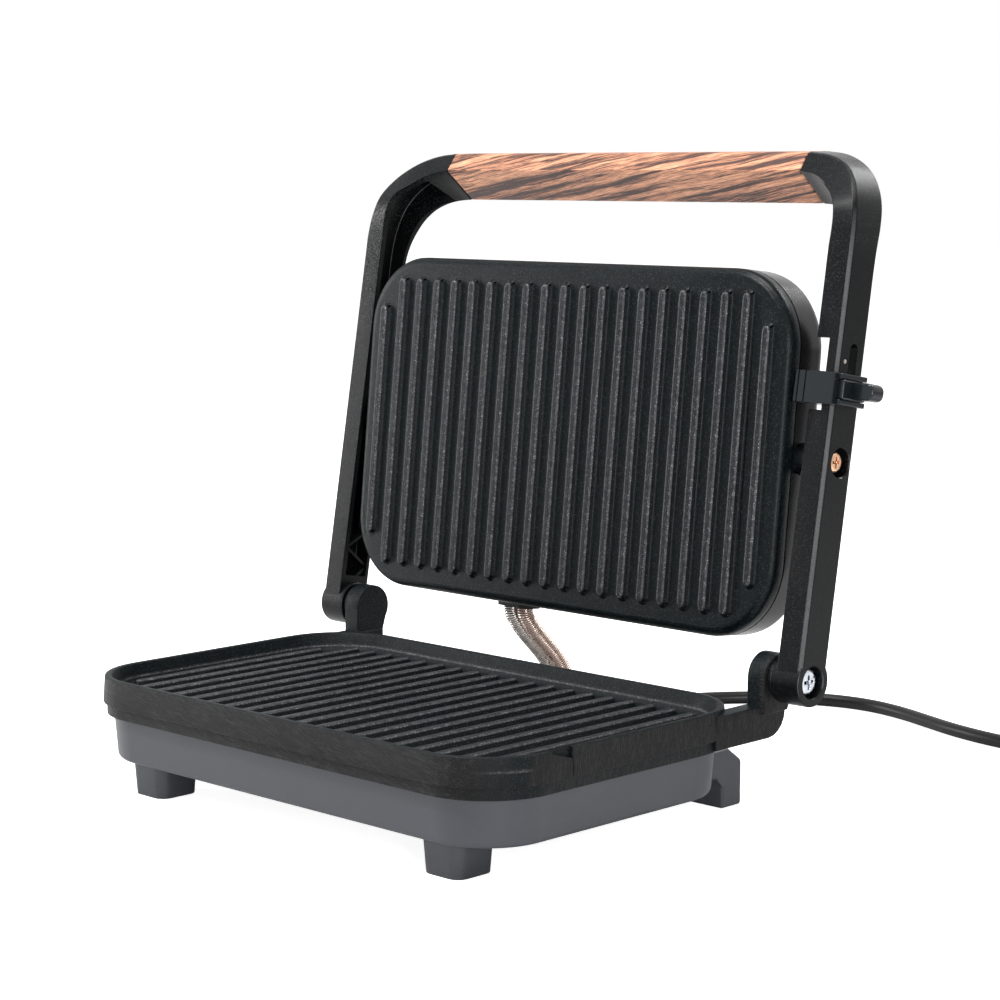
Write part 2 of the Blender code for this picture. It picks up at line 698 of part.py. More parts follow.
def conduits():
    low = -PLATE_HEIGHT / 2
    head = [plate_frame() @ Vector((COVER_CONDUIT_X, COVER_CONDUIT_SETBACK, low + height))
            for height in (0.0120, 0.0040, -0.0040)]
    for side, offset in conduit_sides(0.0):
        points = [Vector(point) + Vector((offset, 0, 0)) for point in (*head, *CONDUIT_ROUTE)]
        pipe = tube(f"conduit_{side}", smooth_route(points, 0.0050), CONDUIT_RADIUS, 2)
        finish(pipe, "nickel", smooth=True)


def base_conduit_bush():
    """An oval bush that holds both conduits in the housing's rear wall."""
    wall_out = TRAY_DEPTH / 2 - HOUSING_BOTTOM_INSET + 0.0008
    outline = rounded_rectangle(0.0086, 0.0048, 0.0046, 4)
    neck = [(BASE_CONDUIT_X + x, BASE_CONDUIT_Z + z) for x, z in outline]
    flange = [(BASE_CONDUIT_X + x, BASE_CONDUIT_Z + z)
              for x, z in rounded_rectangle(0.0105, 0.0066, 0.0064, 4)]
    bush = extruded("base_conduit_bush", neck, wall_out - 0.0060, wall_out + 0.0010, "Y")
    fuse(bush, extruded("base_conduit_bush_flange", flange, wall_out + 0.0006, wall_out + 0.0032, "Y"))
    for side, x in conduit_sides(BASE_CONDUIT_X):
        hole = cylinder(f"base_conduit_bush_hole_{side}", CONDUIT_RADIUS + GAP, 0.0500, 0.0800,
                        (x, BASE_CONDUIT_Z), "Y", 20)
        cut(bush, hole)
    return finish(bush, "rubber_black")


# ---------------------------------------------------------------- handle frame


def arm_frame():
    return Matrix.Translation((0, HINGE_Y, HINGE_Z)) @ Matrix.Rotation(-ARM_TILT, 4, "X")


# Each line is one outline of the arm and its bend, as seven (x, v, u) corners in millimetres:
# inner front, outer front, outer front chamfer, outer back, outer back chamfer, inner back, inner back low.
# The first stands on the hinge axis and the last meets the end of the grip.
ARM_SECTIONS = (
    ((121.9, -8.7, 0.0), (131.4, -8.7, 0.0), (132.9, -7.2, 0.0), (132.9, 6.7, 0.0), (131.4, 8.2, 0.0),
     (123.4, 8.2, 0.0), (121.9, 7.2, 0.0)),
    ((121.9, -8.7, 150.0), (131.4, -8.7, 152.0), (132.9, -7.2, 152.0), (132.9, 6.7, 152.0),
     (131.4, 8.2, 152.0), (123.4, 8.2, 150.0), (121.9, 7.2, 150.0)),
    ((121.9, -8.7, 162.0), (131.3, -8.5, 165.0), (132.7, -7.0, 165.0), (132.8, 7.2, 165.0),
     (131.3, 8.8, 164.0), (123.0, 9.6, 161.0), (121.5, 8.6, 160.0)),
    ((122.1, -8.5, 172.0), (130.6, -7.7, 173.0), (131.9, -6.3, 173.5), (132.3, 8.4, 173.5),
     (130.8, 10.4, 172.5), (122.0, 11.9, 168.5), (120.4, 10.9, 167.0)),
    ((120.9, -7.8, 178.5), (128.9, -6.4, 180.0), (130.1, -4.9, 180.8), (130.6, 9.9, 181.0),
     (129.0, 12.5, 179.8), (120.3, 14.6, 174.5), (118.4, 13.2, 172.8)),
    ((118.0, -6.2, 182.6), (125.6, -3.6, 186.3), (126.7, -2.2, 187.0), (127.2, 11.7, 187.6),
     (125.7, 14.9, 186.2), (117.3, 17.4, 179.4), (114.6, 15.1, 177.4)),
    ((114.0, -3.6, 186.0), (121.0, -0.7, 191.4), (122.0, 0.5, 192.2), (122.5, 13.6, 193.2),
     (121.2, 17.4, 191.4), (113.2, 20.3, 183.2), (110.2, 16.7, 180.2)),
    ((108.8, -1.2, 189.4), (114.6, 2.0, 195.9), (115.3, 3.1, 196.7), (115.8, 15.3, 198.2),
     (114.7, 20.2, 195.9), (107.9, 23.0, 186.2), (105.4, 17.8, 181.8)),
    ((103.0, 0.4, 191.7), (106.4, 3.9, 199.0), (106.8, 4.9, 199.7), (107.0, 16.5, 201.8),
     (106.5, 22.6, 199.2), (102.6, 24.8, 188.1), (101.0, 18.4, 182.5)),
    ((96.8, 1.0, 192.8), (96.8, 4.8, 200.3), (96.8, 5.8, 201.0), (96.8, 17.0, 203.2), (96.8, 23.8, 200.8),
     (96.8, 25.6, 189.0), (96.8, 18.6, 182.8)),
)
CHANNEL_LAST = 7  # the channel stops in this outline; the rest of the bend is solid


def blend(section, across, back):
    """A point of an arm outline: across 0 at its inner side and 1 at its outer side, back 0 to 1."""
    inner_front = Vector(section[0])
    outer_front = (Vector(section[1]) + Vector(section[2])) / 2
    outer_back = (Vector(section[3]) + Vector(section[4])) / 2
    inner_back = (Vector(section[5]) + Vector(section[6])) / 2
    front = inner_front.lerp(outer_front, across)
    return front.lerp(inner_back.lerp(outer_back, across), back)


def arm_points(section, sign):
    return [(sign * x / 1000, v / 1000, u / 1000) for x, v, u in section]


def arm_channel(name, sign):
    """The hollow of the arm, open towards the plates and round the bend."""
    width = ARM_OUTER_X - ARM_INNER_X
    floor = 1 - ARM_WEB / width
    depth = ARM_BACK_V - ARM_FRONT_V
    front = ARM_FLANGE / depth
    start = [(x, v, 12.0) for x, v, u in ARM_SECTIONS[0]]
    sections = []
    for section in (start,) + ARM_SECTIONS[1:CHANNEL_LAST + 1]:
        ring = [blend(section, -0.25, front), blend(section, floor, front),
                blend(section, floor, 1 - front), blend(section, -0.25, 1 - front)]
        sections.append(arm_points([tuple(point) for point in ring], sign))
    return loft(name, sections)


def stiffener(name, sign, start, end):
    """One thin diagonal rib inside the channel, between two (v, u) points."""
    along = Vector((end[0] - start[0], end[1] - start[1])).normalized() * 0.0006
    across = (-along.y, along.x)
    outline = [(start[0] + across[0], start[1] + across[1]), (end[0] + across[0], end[1] + across[1]),
               (end[0] - across[0], end[1] - across[1]), (start[0] - across[0], start[1] - across[1])]
    low, high = span(sign, ARM_INNER_X + 0.0012, ARM_OUTER_X - ARM_WEB + 0.0005)
    return extruded(name, outline, low, high, "X")


def arm(side, sign):
    body = loft(f"arm_{side}", [arm_points(section, sign) for section in ARM_SECTIONS])
    name = body.name
    cut(body, arm_channel(name + "_channel", sign))
    hinge_low = EAR_OUTER_X + 2 * GAP + WASHER_THICKNESS
    boss = cylinder(name + "_hinge_boss", EAR_RADIUS, *span(sign, hinge_low, ARM_OUTER_X), (0, 0), sides=32)
    fuse(body, boss)
    zigzag = ((-0.0020, 0.0088), (0.0062, 0.0165), (-0.0066, 0.0243), (0.0062, 0.0330))
    for number, (start, end) in enumerate(zip(zigzag, zigzag[1:])):
        fuse(body, stiffener(f"{name}_stiffener_{number}", sign, start, end))
    boss = cylinder(name + "_pivot_boss", PIVOT_BOSS_RADIUS + 0.0006,
                    *span(sign, hinge_low + 0.0003, ARM_OUTER_X - 0.0010), (PIVOT_V, PIVOT_U))
    fuse(body, boss)
    for label, head, shank, centre in (
        ("hinge", HINGE_HEAD_RADIUS + 0.0011, HINGE_SCREW_RADIUS, (0, 0)),
        ("pivot", PIVOT_HEAD_RADIUS + 0.0015, PIVOT_SCREW_RADIUS, (PIVOT_V, PIVOT_U)),
    ):
        seat = ARM_OUTER_X - HEAD_DEPTH - HEAD_THICKNESS - GAP
        recess = cylinder(f"{name}_{label}_recess", head, *span(sign, seat, ARM_OUTER_X + 0.0020), centre)
        cut(body, recess)
        bore = cylinder(f"{name}_{label}_bore", shank + BORE_GAP,
                        *span(sign, hinge_low - 0.0020, ARM_OUTER_X + 0.0010), centre)
        cut(body, bore)
    core = cylinder(name + "_core_hole", GRIP_CORE_RADIUS + BORE_GAP,
                    *span(sign, GRIP_HALF - 0.0010, GRIP_HALF + 2 * GAP + GRIP_CORE_REACH),
                    (GRIP_CORE_V, GRIP_CORE_U), sides=16)
    cut(body, core)
    if sign > 0:
        latch_openings(body)
    body.matrix_world = arm_frame()
    return finish(body, "arm_black")


def latch_openings(body):
    """The notch in the front flange, the slot in the outer web and the hole for the detent pin."""
    low = LATCH_U - LATCH_HEIGHT / 2 - 0.0021
    high = LATCH_U + LATCH_HEIGHT / 2 + LATCH_TRAVEL + GAP
    notch = block("arm_right_notch", (ARM_INNER_X - 0.0020, NOTCH_EDGE_X), (ARM_FRONT_V - 0.0010, -0.0050),
                  (low, high))
    cut(body, notch)
    outline = []
    for middle, start in ((LATCH_U + LATCH_TRAVEL + 0.0029, 0), (LATCH_U - 0.0010, 180)):
        for step in range(9):
            angle = math.radians(start + 22.5 * step)
            outline.append((SLOT_RADIUS * math.cos(angle) + 0.0003, middle + SLOT_RADIUS * math.sin(angle)))
    cut(body, extruded("arm_right_slot", outline, ARM_OUTER_X - ARM_WEB - 0.0010, ARM_OUTER_X + 0.0010, "X"))
    cut(body, cylinder("arm_right_pin_hole", 0.0012, ARM_OUTER_X - 0.0023, ARM_OUTER_X + 0.0010,
                       (DETENT_V, DETENT_U), sides=12))


def detent_pin():
    pin = cylinder("latch_detent_pin", 0.0009, ARM_OUTER_X - 0.0020, ARM_OUTER_X - 0.0001,
                   (DETENT_V, DETENT_U), sides=12)
    pin.matrix_world = arm_frame()
    return finish(pin, "nickel")


def latch_slider():
    low = LATCH_U - LATCH_HEIGHT / 2
    high = LATCH_U + LATCH_HEIGHT / 2
    inner = block("latch_slider", (LATCH_INNER_X, NOTCH_EDGE_X - GAP), (LATCH_FRONT_V, 0.0030), (low, high))
    step_back = block("latch_slider_step", (LATCH_INNER_X - 0.0010, 0.1195), (-0.0040, 0.0050),
                      (low - 0.0010, high + 0.0010))
    cut(inner, step_back)
    plate_x = ARM_OUTER_X + GAP
    bridge = block("latch_slider_bridge", (NOTCH_EDGE_X - 0.0030, plate_x + LATCH_PLATE),
                   (LATCH_FRONT_V, ARM_FRONT_V - GAP), (low, high))
    fuse(inner, bridge)
    outer = block("latch_slider_plate", (plate_x, plate_x + LATCH_PLATE), (LATCH_FRONT_V + 0.0004, 0.0060),
                  (low + 0.0004, high - 0.0004))
    fuse(inner, outer)
    for name, rail_low in (("upper", high - 0.0022), ("lower", low + 0.0002)):
        rail = block(f"latch_slider_rail_{name}", (plate_x + 0.0003, plate_x + 0.0036), (-0.0100, 0.0058),
                     (rail_low, rail_low + 0.0021))
        fuse(inner, rail)
    finger = cylinder("latch_slider_finger", LATCH_PIN_RADIUS, plate_x + 0.0002, LATCH_PIN_END_X,
                      (0.0010, LATCH_U), sides=24)
    add_bevel(finger, 0.0022, 3, 60)
    fuse(inner, finger)
    hole = cylinder("latch_slider_stud_hole", STUD_RADIUS + BORE_GAP, 0.1240, 0.1290, (0.0003, LATCH_U),
                    sides=16)
    cut(inner, hole)
    inner.matrix_world = arm_frame()
    return finish(inner, "latch_black")


def latch_stud():
    """The steel stud that guides the latch in the arm's slot."""
    stud = cylinder("latch_stud", STUD_RADIUS, 0.1243, ARM_OUTER_X, (0.0003, LATCH_U), sides=16)
    stud.matrix_world = arm_frame()
    return finish(stud, "steel_dull")


def grip():
    outline = [(v / 1000, u / 1000) for x, v, u in ARM_SECTIONS[-1]]
    body = extruded("handle_grip", outline, -GRIP_HALF, GRIP_HALF, "X")
    bore = cylinder("handle_grip_bore", GRIP_CORE_RADIUS + BORE_GAP, -GRIP_HALF - 0.0010, GRIP_HALF + 0.0010,
                    (GRIP_CORE_V, GRIP_CORE_U), sides=16)
    cut(body, bore)
    body.matrix_world = arm_frame()
    return finish(body, "wood")


def grip_core():
    reach = GRIP_HALF + GAP + GRIP_CORE_REACH
    core = cylinder("handle_grip_core", GRIP_CORE_RADIUS, -reach, reach, (GRIP_CORE_V, GRIP_CORE_U),
                    sides=16)
    core.matrix_world = arm_frame()
    return finish(core, "steel_dull")


def hinge_pieces(side, sign):
    head = ARM_OUTER_X - HEAD_DEPTH
    end = EAR_INNER_X + 0.0014
    place = along_x(sign * head, HINGE_Y, HINGE_Z, sign)
    machine_screw(f"hinge_screw_{side}", HINGE_HEAD_RADIUS, HEAD_THICKNESS, HINGE_SCREW_RADIUS,
                  head - HEAD_THICKNESS - end, place, "zinc")
    inner = HINGE_SCREW_RADIUS + BORE_GAP
    profile = [(inner, WASHER_THICKNESS), (0.0078, WASHER_THICKNESS), (0.0078, 0.0), (inner, 0.0)]
    washer = turned(f"hinge_washer_{side}", profile,
                    along_x(sign * (EAR_OUTER_X + GAP), HINGE_Y, HINGE_Z, sign), 24)
    finish(washer, "zinc")


# ---------------------------------------------------------------- upper plate


def pivot_place():
    return arm_frame() @ Vector((0, PIVOT_V, PIVOT_U))


def plate_frame():
    return Matrix.Translation(pivot_place()) @ Matrix.Rotation(-PLATE_TILT, 4, "X")


def plate_outline(inset=0.0):
    return rounded_rectangle(PLATE_WIDTH / 2 - inset, PLATE_HEIGHT / 2 - inset,
                             max(PLATE_CORNER - inset, 0.003), 8)


def upper_plate():
    face = -PIVOT_SETBACK
    plate = extruded("upper_plate", plate_outline(), face, face + PLATE_BAND, "Y")
    cut(plate, extruded("upper_plate_hollow", plate_outline(0.0045), face + FLOOR_THICKNESS,
                        face + PLATE_BAND + 0.0010, "Y"))
    long_rib = PLATE_HEIGHT / 2 - RIB_END_MARGIN
    short_rib = PLATE_HEIGHT / 2 - SHORT_RIB_MARGIN
    fuse(plate, ribs("upper_plate_ribs", long_rib, short_rib, face, RIB_HEIGHT, "front"))
    for side, sign in (("left", -1), ("right", 1)):
        lug = block(f"upper_plate_lug_{side}", span(sign, LUG_INNER_X, LUG_OUTER_X),
                    (face + FLOOR_THICKNESS - 0.0010, 0.0032), (-0.0070, 0.0070))
        fuse(plate, lug)
        bore = cylinder(f"upper_plate_bore_{side}", PIVOT_SCREW_RADIUS + BORE_GAP,
                        *span(sign, LUG_INNER_X + 0.0015, LUG_OUTER_X + 0.0010), (0, 0))
        cut(plate, bore)
    for number, (x, z) in enumerate(cover_screw_places()):
        post = cylinder(f"upper_plate_post_{number}", POST_RADIUS, face + FLOOR_THICKNESS - 0.0010,
                        cover_back() - COVER_WALL - GAP, (x, z), "Y", 16)
        fuse(plate, post)
        hole = cylinder(f"upper_plate_post_hole_{number}", SMALL_SCREW_RADIUS + BORE_GAP, face + 0.0080,
                        cover_back(), (x, z), "Y", 12)
        cut(plate, hole)
    plate.matrix_world = plate_frame()
    return finish(plate, "cast_black")


def cover_screw_places():
    return [(sx * 0.0780, sz * 0.0430) for sx, sz in ((-1, -1), (1, -1), (-1, 1), (1, 1))]


def cover_back():
    return COVER_DEPTH + 0.0080 - PIVOT_SETBACK


def cover_sections(wall):
    """Outlines of the cover from its open edge to its back, (x, y, z) in the plate's frame."""
    face = -PIVOT_SETBACK
    start = face + PLATE_BAND + GAP - (0.0010 if wall else 0.0)
    bend = face + COVER_DEPTH
    steps = ((start, 0.0), (bend - wall * 0.4, 0.0), (bend + 0.0038 - wall * 0.7, 0.0022),
             (bend + 0.0066 - wall, 0.0068), (cover_back() - wall, 0.0150))
    sections = []
    for y, inset in steps:
        outline = rounded_rectangle(PLATE_WIDTH / 2 - inset - wall, PLATE_HEIGHT / 2 - inset - wall,
                                    PLATE_CORNER - inset * 0.6 - wall, 8)
        sections.append([(x, y, z) for x, z in outline])
    return sections


def upper_cover():
    cover = loft("upper_cover", cover_sections(0.0))
    cut(cover, loft("upper_cover_inside", cover_sections(COVER_WALL)))
    for side, sign in (("left", -1), ("right", 1)):
        hole = cylinder(f"upper_cover_pivot_hole_{side}", PIVOT_BOSS_RADIUS + BORE_GAP,
                        *span(sign, PLATE_WIDTH / 2 - 0.0060, PLATE_WIDTH / 2 + 0.0020), (0, 0))
        cut(cover, hole)
    for number, (x, z) in enumerate(cover_screw_places()):
        hole = cylinder(f"upper_cover_hole_{number}", SMALL_SCREW_RADIUS + BORE_GAP, 0.0, 0.0400, (x, z),
                        "Y", 12)
        cut(cover, hole)
    outline = [(COVER_CONDUIT_X + across, COVER_CONDUIT_SETBACK + along)
               for across, along in rounded_rectangle(0.0087, 0.0047, 0.0045, 4)]
    low = -PLATE_HEIGHT / 2
    cut(cover, extruded("upper_cover_conduit_hole", outline, low - 0.0050, low + 0.0060))
    cover.matrix_world = plate_frame()
    return finish(cover, "cover_black")


def cover_bush():
    low = -PLATE_HEIGHT / 2
    neck, flange = (
        [(COVER_CONDUIT_X + across, COVER_CONDUIT_SETBACK + along)
         for across, along in rounded_rectangle(half_x, half_y, half_y - 0.0002, 4)]
        for half_x, half_y in ((0.0083, 0.0043), (0.0100, 0.0054))
    )
    bush = extruded("cover_conduit_bush", neck, low - 0.0010, low + 0.0050)
    fuse(bush, extruded("cover_conduit_bush_flange", flange, low - 0.0021, low - GAP))
    for side, x in conduit_sides(COVER_CONDUIT_X):
        hole = cylinder(f"cover_conduit_bush_hole_{side}", CONDUIT_RADIUS + GAP, low - 0.0100, low + 0.0100,
                        (x, COVER_CONDUIT_SETBACK), "Z", 20)
        cut(bush, hole)
    bush.matrix_world = plate_frame()
    return finish(bush, "rubber_black")


def cover_screws():
    for number, (x, z) in enumerate(cover_screw_places()):
        local = Matrix.Translation((x, cover_back() + GAP + 0.0020, z))
        local = local @ Matrix.Rotation(-math.pi / 2, 4, "X")
        machine_screw(f"cover_screw_{number + 1}", SMALL_HEAD_RADIUS, 0.0020, SMALL_SCREW_RADIUS, 0.0110,
                      plate_frame() @ local, "zinc", 16)


def upper_element():
    y = -PIVOT_SETBACK + FLOOR_THICKNESS + GAP + 0.0030
    outline = [(0.014, y, 0.048), (0.046, y, 0.048), (0.060, y, 0.038), (0.064, y, 0.025),
               (0.064, y, -0.020), (0.056, y, -0.038), (0.040, y, -0.045), (0.0, y, -0.045)]
    route = outline + [(-x, depth, z) for x, depth, z in reversed(outline[:-1])]
    element = tube("upper_heating_element", smooth_route(route, 0.012), 0.0030, 2)
    element.matrix_world = plate_frame()
    return finish(element, "steel_dull", smooth=True)


def upper_thermostat():
    low = -PIVOT_SETBACK + FLOOR_THICKNESS + GAP
    body = cylinder("upper_thermostat", 0.0080, low, low + 0.0090, (0.0, 0.0), "Y", 20)
    stem = cylinder("upper_thermostat_stem", 0.0040, low + 0.0080, low + 0.0125, (0.0, 0.0), "Y", 12)
    fuse(body, stem)
    body.matrix_world = plate_frame()
    return finish(body, "ceramic_white")


def pivot_pieces(side, sign):
    pivot = pivot_place()
    head = ARM_OUTER_X - HEAD_DEPTH
    end = LUG_INNER_X + 0.0018
    place = plate_frame() @ along_x(sign * head, 0, 0, sign)
    machine_screw(f"pivot_screw_{side}", PIVOT_HEAD_RADIUS, HEAD_THICKNESS, PIVOT_SCREW_RADIUS,
                  head - HEAD_THICKNESS - end, place, "copper", 20)
    inner = PIVOT_SCREW_RADIUS + BORE_GAP
    length = EAR_OUTER_X + 2 * GAP + WASHER_THICKNESS - LUG_OUTER_X - GAP
    profile = [(inner, length), (PIVOT_BOSS_RADIUS, length), (PIVOT_BOSS_RADIUS, 0.0), (inner, 0.0)]
    bush = turned(f"pivot_bush_{side}", profile,
                  plate_frame() @ along_x(sign * (LUG_OUTER_X + GAP), 0, 0, sign), 24)
    finish(bush, "latch_black")
    return pivot


# ---------------------------------------------------------------- assembly


def add_materials():
    add_material("cast_black", (0.012, 0.012, 0.013), 0.42, 0.0)
    add_material("arm_black", (0.010, 0.010, 0.011), 0.38, 0.0)
    add_material("cover_black", (0.014, 0.014, 0.015), 0.30, 0.0)
    add_material("latch_black", (0.020, 0.020, 0.022), 0.35, 0.0)
    add_material("grey_plastic", (0.075, 0.077, 0.082), 0.45, 0.0)
    add_material("foot_plastic", (0.050, 0.052, 0.056), 0.50, 0.0)
    add_material("wood", (0.330, 0.140, 0.060), 0.45, 0.0)
    add_material("zinc", (0.620, 0.640, 0.660), 0.30, 1.0)
    add_material("copper", (0.720, 0.430, 0.260), 0.30, 1.0)
    add_material("nickel", (0.560, 0.530, 0.480), 0.32, 1.0)
    add_material("steel_dull", (0.400, 0.400, 0.410), 0.45, 1.0)
    add_material("ceramic_white", (0.700, 0.690, 0.660), 0.40, 0.0)
    add_material("rubber_black", (0.015, 0.015, 0.016), 0.60, 0.0)
    add_material("cord_black", (0.013, 0.013, 0.014), 0.48, 0.0)


def centre_on_origin():
    for obj in PRESS.objects:
        obj.matrix_world = Matrix.Translation((-CENTRE_X, -CENTRE_Y, 0)) @ obj.matrix_world


def build():
    lower_plate()
    base_housing()
    base_screws()
    front_foot("foot_front_left", LEFT_FOOT_X)
    front_foot("foot_front_right", RIGHT_FOOT_X)
    rear_foot("foot_rear_left", LEFT_FOOT_X)
    rear_foot("foot_rear_right", RIGHT_FOOT_X)
    lower_element()
    lower_thermostat()
    terminal_block()
    cord_gland()
    power_cord()
    cord_coil()
    plug()
    conduits()
    base_conduit_bush()
    for side, sign in (("left", -1), ("right", 1)):
        arm(side, sign)
        hinge_pieces(side, sign)
        pivot_pieces(side, sign)
    grip()
    grip_core()
    latch_slider()
    latch_stud()
    detent_pin()
    upper_plate()
    upper_cover()
    cover_bush()
    cover_screws()
    upper_element()
    upper_thermostat()
    centre_on_origin()


clear_scene()
PRESS = new_collection("panini_press")
CUTTERS = new_collection("panini_press_cutters")
add_materials()
build()
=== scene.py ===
import json
import math

import bmesh
import bpy
from mathutils import Matrix, Vector


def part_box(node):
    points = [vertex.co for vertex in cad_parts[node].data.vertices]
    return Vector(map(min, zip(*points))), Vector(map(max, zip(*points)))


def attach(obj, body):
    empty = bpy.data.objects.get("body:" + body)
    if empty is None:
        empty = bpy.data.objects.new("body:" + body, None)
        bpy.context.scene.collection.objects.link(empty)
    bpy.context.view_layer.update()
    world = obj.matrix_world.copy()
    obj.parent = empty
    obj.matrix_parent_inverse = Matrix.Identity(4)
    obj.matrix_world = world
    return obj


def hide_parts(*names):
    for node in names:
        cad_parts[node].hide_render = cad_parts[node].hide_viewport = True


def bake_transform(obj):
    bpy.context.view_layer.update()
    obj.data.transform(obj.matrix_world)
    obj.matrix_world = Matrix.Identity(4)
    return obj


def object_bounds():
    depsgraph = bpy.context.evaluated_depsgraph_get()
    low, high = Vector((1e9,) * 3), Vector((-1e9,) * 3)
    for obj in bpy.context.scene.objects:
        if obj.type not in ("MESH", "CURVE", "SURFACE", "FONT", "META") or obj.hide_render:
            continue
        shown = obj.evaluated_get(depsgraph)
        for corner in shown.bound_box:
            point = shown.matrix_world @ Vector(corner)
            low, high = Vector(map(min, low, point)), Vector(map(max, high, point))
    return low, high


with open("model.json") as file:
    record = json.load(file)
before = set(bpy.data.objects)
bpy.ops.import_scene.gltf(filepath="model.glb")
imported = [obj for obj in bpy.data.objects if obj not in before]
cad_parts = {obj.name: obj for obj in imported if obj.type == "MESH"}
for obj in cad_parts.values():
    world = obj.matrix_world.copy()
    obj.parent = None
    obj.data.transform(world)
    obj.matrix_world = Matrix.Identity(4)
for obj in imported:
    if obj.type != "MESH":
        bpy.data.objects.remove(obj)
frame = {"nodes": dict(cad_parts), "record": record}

cad_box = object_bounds()

# ---------- sizes, metres
# The press is laid out from the point under the middle of its tray; the row's origin is a little off it.
OFFSET = Vector((-0.0067, -0.03454, 0.0))
TRAY_HALF = (0.1160, 0.07175)
TRAY_CORNER = 0.030
RIM_Z = 0.0475
WALL_BOTTOM_Z = 0.0366
SEAM_Z = 0.0322
TRAY_FLOOR_Z = 0.0400
HINGE = (0.0837, 0.0558)
ARM_TILT = math.radians(9.83)
PLATE_TILT = math.radians(5.93)
PIVOT_UP_ARM = 0.0828
PIVOT_BACK = 0.0006
PIVOT_SETBACK = 0.01377
PLATE_HALF = (0.1151, 0.0707)
PLATE_CORNER = 0.030
PLATE_BAND = 0.0073
RIB_COUNT = 21
RIB_PITCH = 0.0105
RIB_HALF_WIDTH = 0.00275
RIB_HEIGHT = 0.0026
EAR_RADIUS = 0.0093
EAR_X = (0.1087, 0.1172)
HOUSING_BOTTOM_Z = 0.0140
HOUSING_WALL = 0.0024
POST_PLACES = [(x, y) for y in (-0.030, 0.030) for x in (-0.098, 0.098)]
GAP = 0.0003
SCREW_HOLE_RADIUS = 0.0018
CORE_HOLE_RADIUS = 0.0048
COATING_GLOSS = 0.14
COATING_GRAIN = 0.0005
MERGE_DISTANCE = 0.000005
CORD_DIAMETER = 0.0058
COIL_CENTRE = Vector((0.1640, 0.2805, 0.0))
COIL_RADIUS = 0.0310
COIL_TURNS = 2.25
COIL_FLOOR_GAP = 0.0002

# Middle line of the lead, from the housing to the coil
CORD_ROUTE = (
    (-0.0600, 0.0640, 0.0230), (-0.0600, 0.0800, 0.0230), (-0.0600, 0.1000, 0.0229),
    (-0.0601, 0.1130, 0.0215), (-0.0606, 0.1270, 0.0170), (-0.0612, 0.1410, 0.0110),
    (-0.0612, 0.1540, 0.0062), (-0.0602, 0.1680, 0.0036), (-0.0580, 0.1830, 0.0030),
    (-0.0535, 0.2000, 0.0030), (-0.0465, 0.2170, 0.0030), (-0.0370, 0.2330, 0.0030),
    (-0.0240, 0.2480, 0.0030), (-0.0090, 0.2600, 0.0030), (0.0080, 0.2675, 0.0030),
    (0.0250, 0.2695, 0.0030), (0.0430, 0.2665, 0.0030), (0.0610, 0.2605, 0.0030),
    (0.0780, 0.2545, 0.0030), (0.0940, 0.2505, 0.0030), (0.1080, 0.2485, 0.0030),
    (0.1230, 0.2480, 0.0030), (0.1454, 0.2492, 0.0030),
)

# Middle line between the two conduits, from inside the upper cover to inside the housing
CONDUIT_RADIUS = 0.0034
CONDUIT_SPACING = 0.0076
COVER_CONDUIT = (-0.0265, -0.0003)
CONDUIT_ROUTE = (
    (-0.0255, 0.0920, 0.0585), (-0.0240, 0.0950, 0.0535), (-0.0222, 0.0988, 0.0485),
    (-0.0202, 0.1023, 0.0435), (-0.0185, 0.1048, 0.0385), (-0.0172, 0.1054, 0.0335),
    (-0.0163, 0.1035, 0.0285), (-0.0157, 0.0990, 0.0246), (-0.0153, 0.0930, 0.0226),
    (-0.0150, 0.0860, 0.0222), (-0.0150, 0.0780, 0.0222), (-0.0150, 0.0700, 0.0222),
    (-0.0150, 0.0610, 0.0222),
)

# On the press the conduits bend with the lid below this height and with the floating plate above it; here
# each conduit is only made as two pieces split at this height, and the bodies and heights in the table are
# not used
CONDUIT_JOIN_Z = 0.0535
CONDUIT_BENDS = {
    "lower": ("base", "handle_frame", 0.0275, 0.0530),
    "upper": ("handle_frame", "upper_plate_assembly", 0.0540, 0.0640),
}

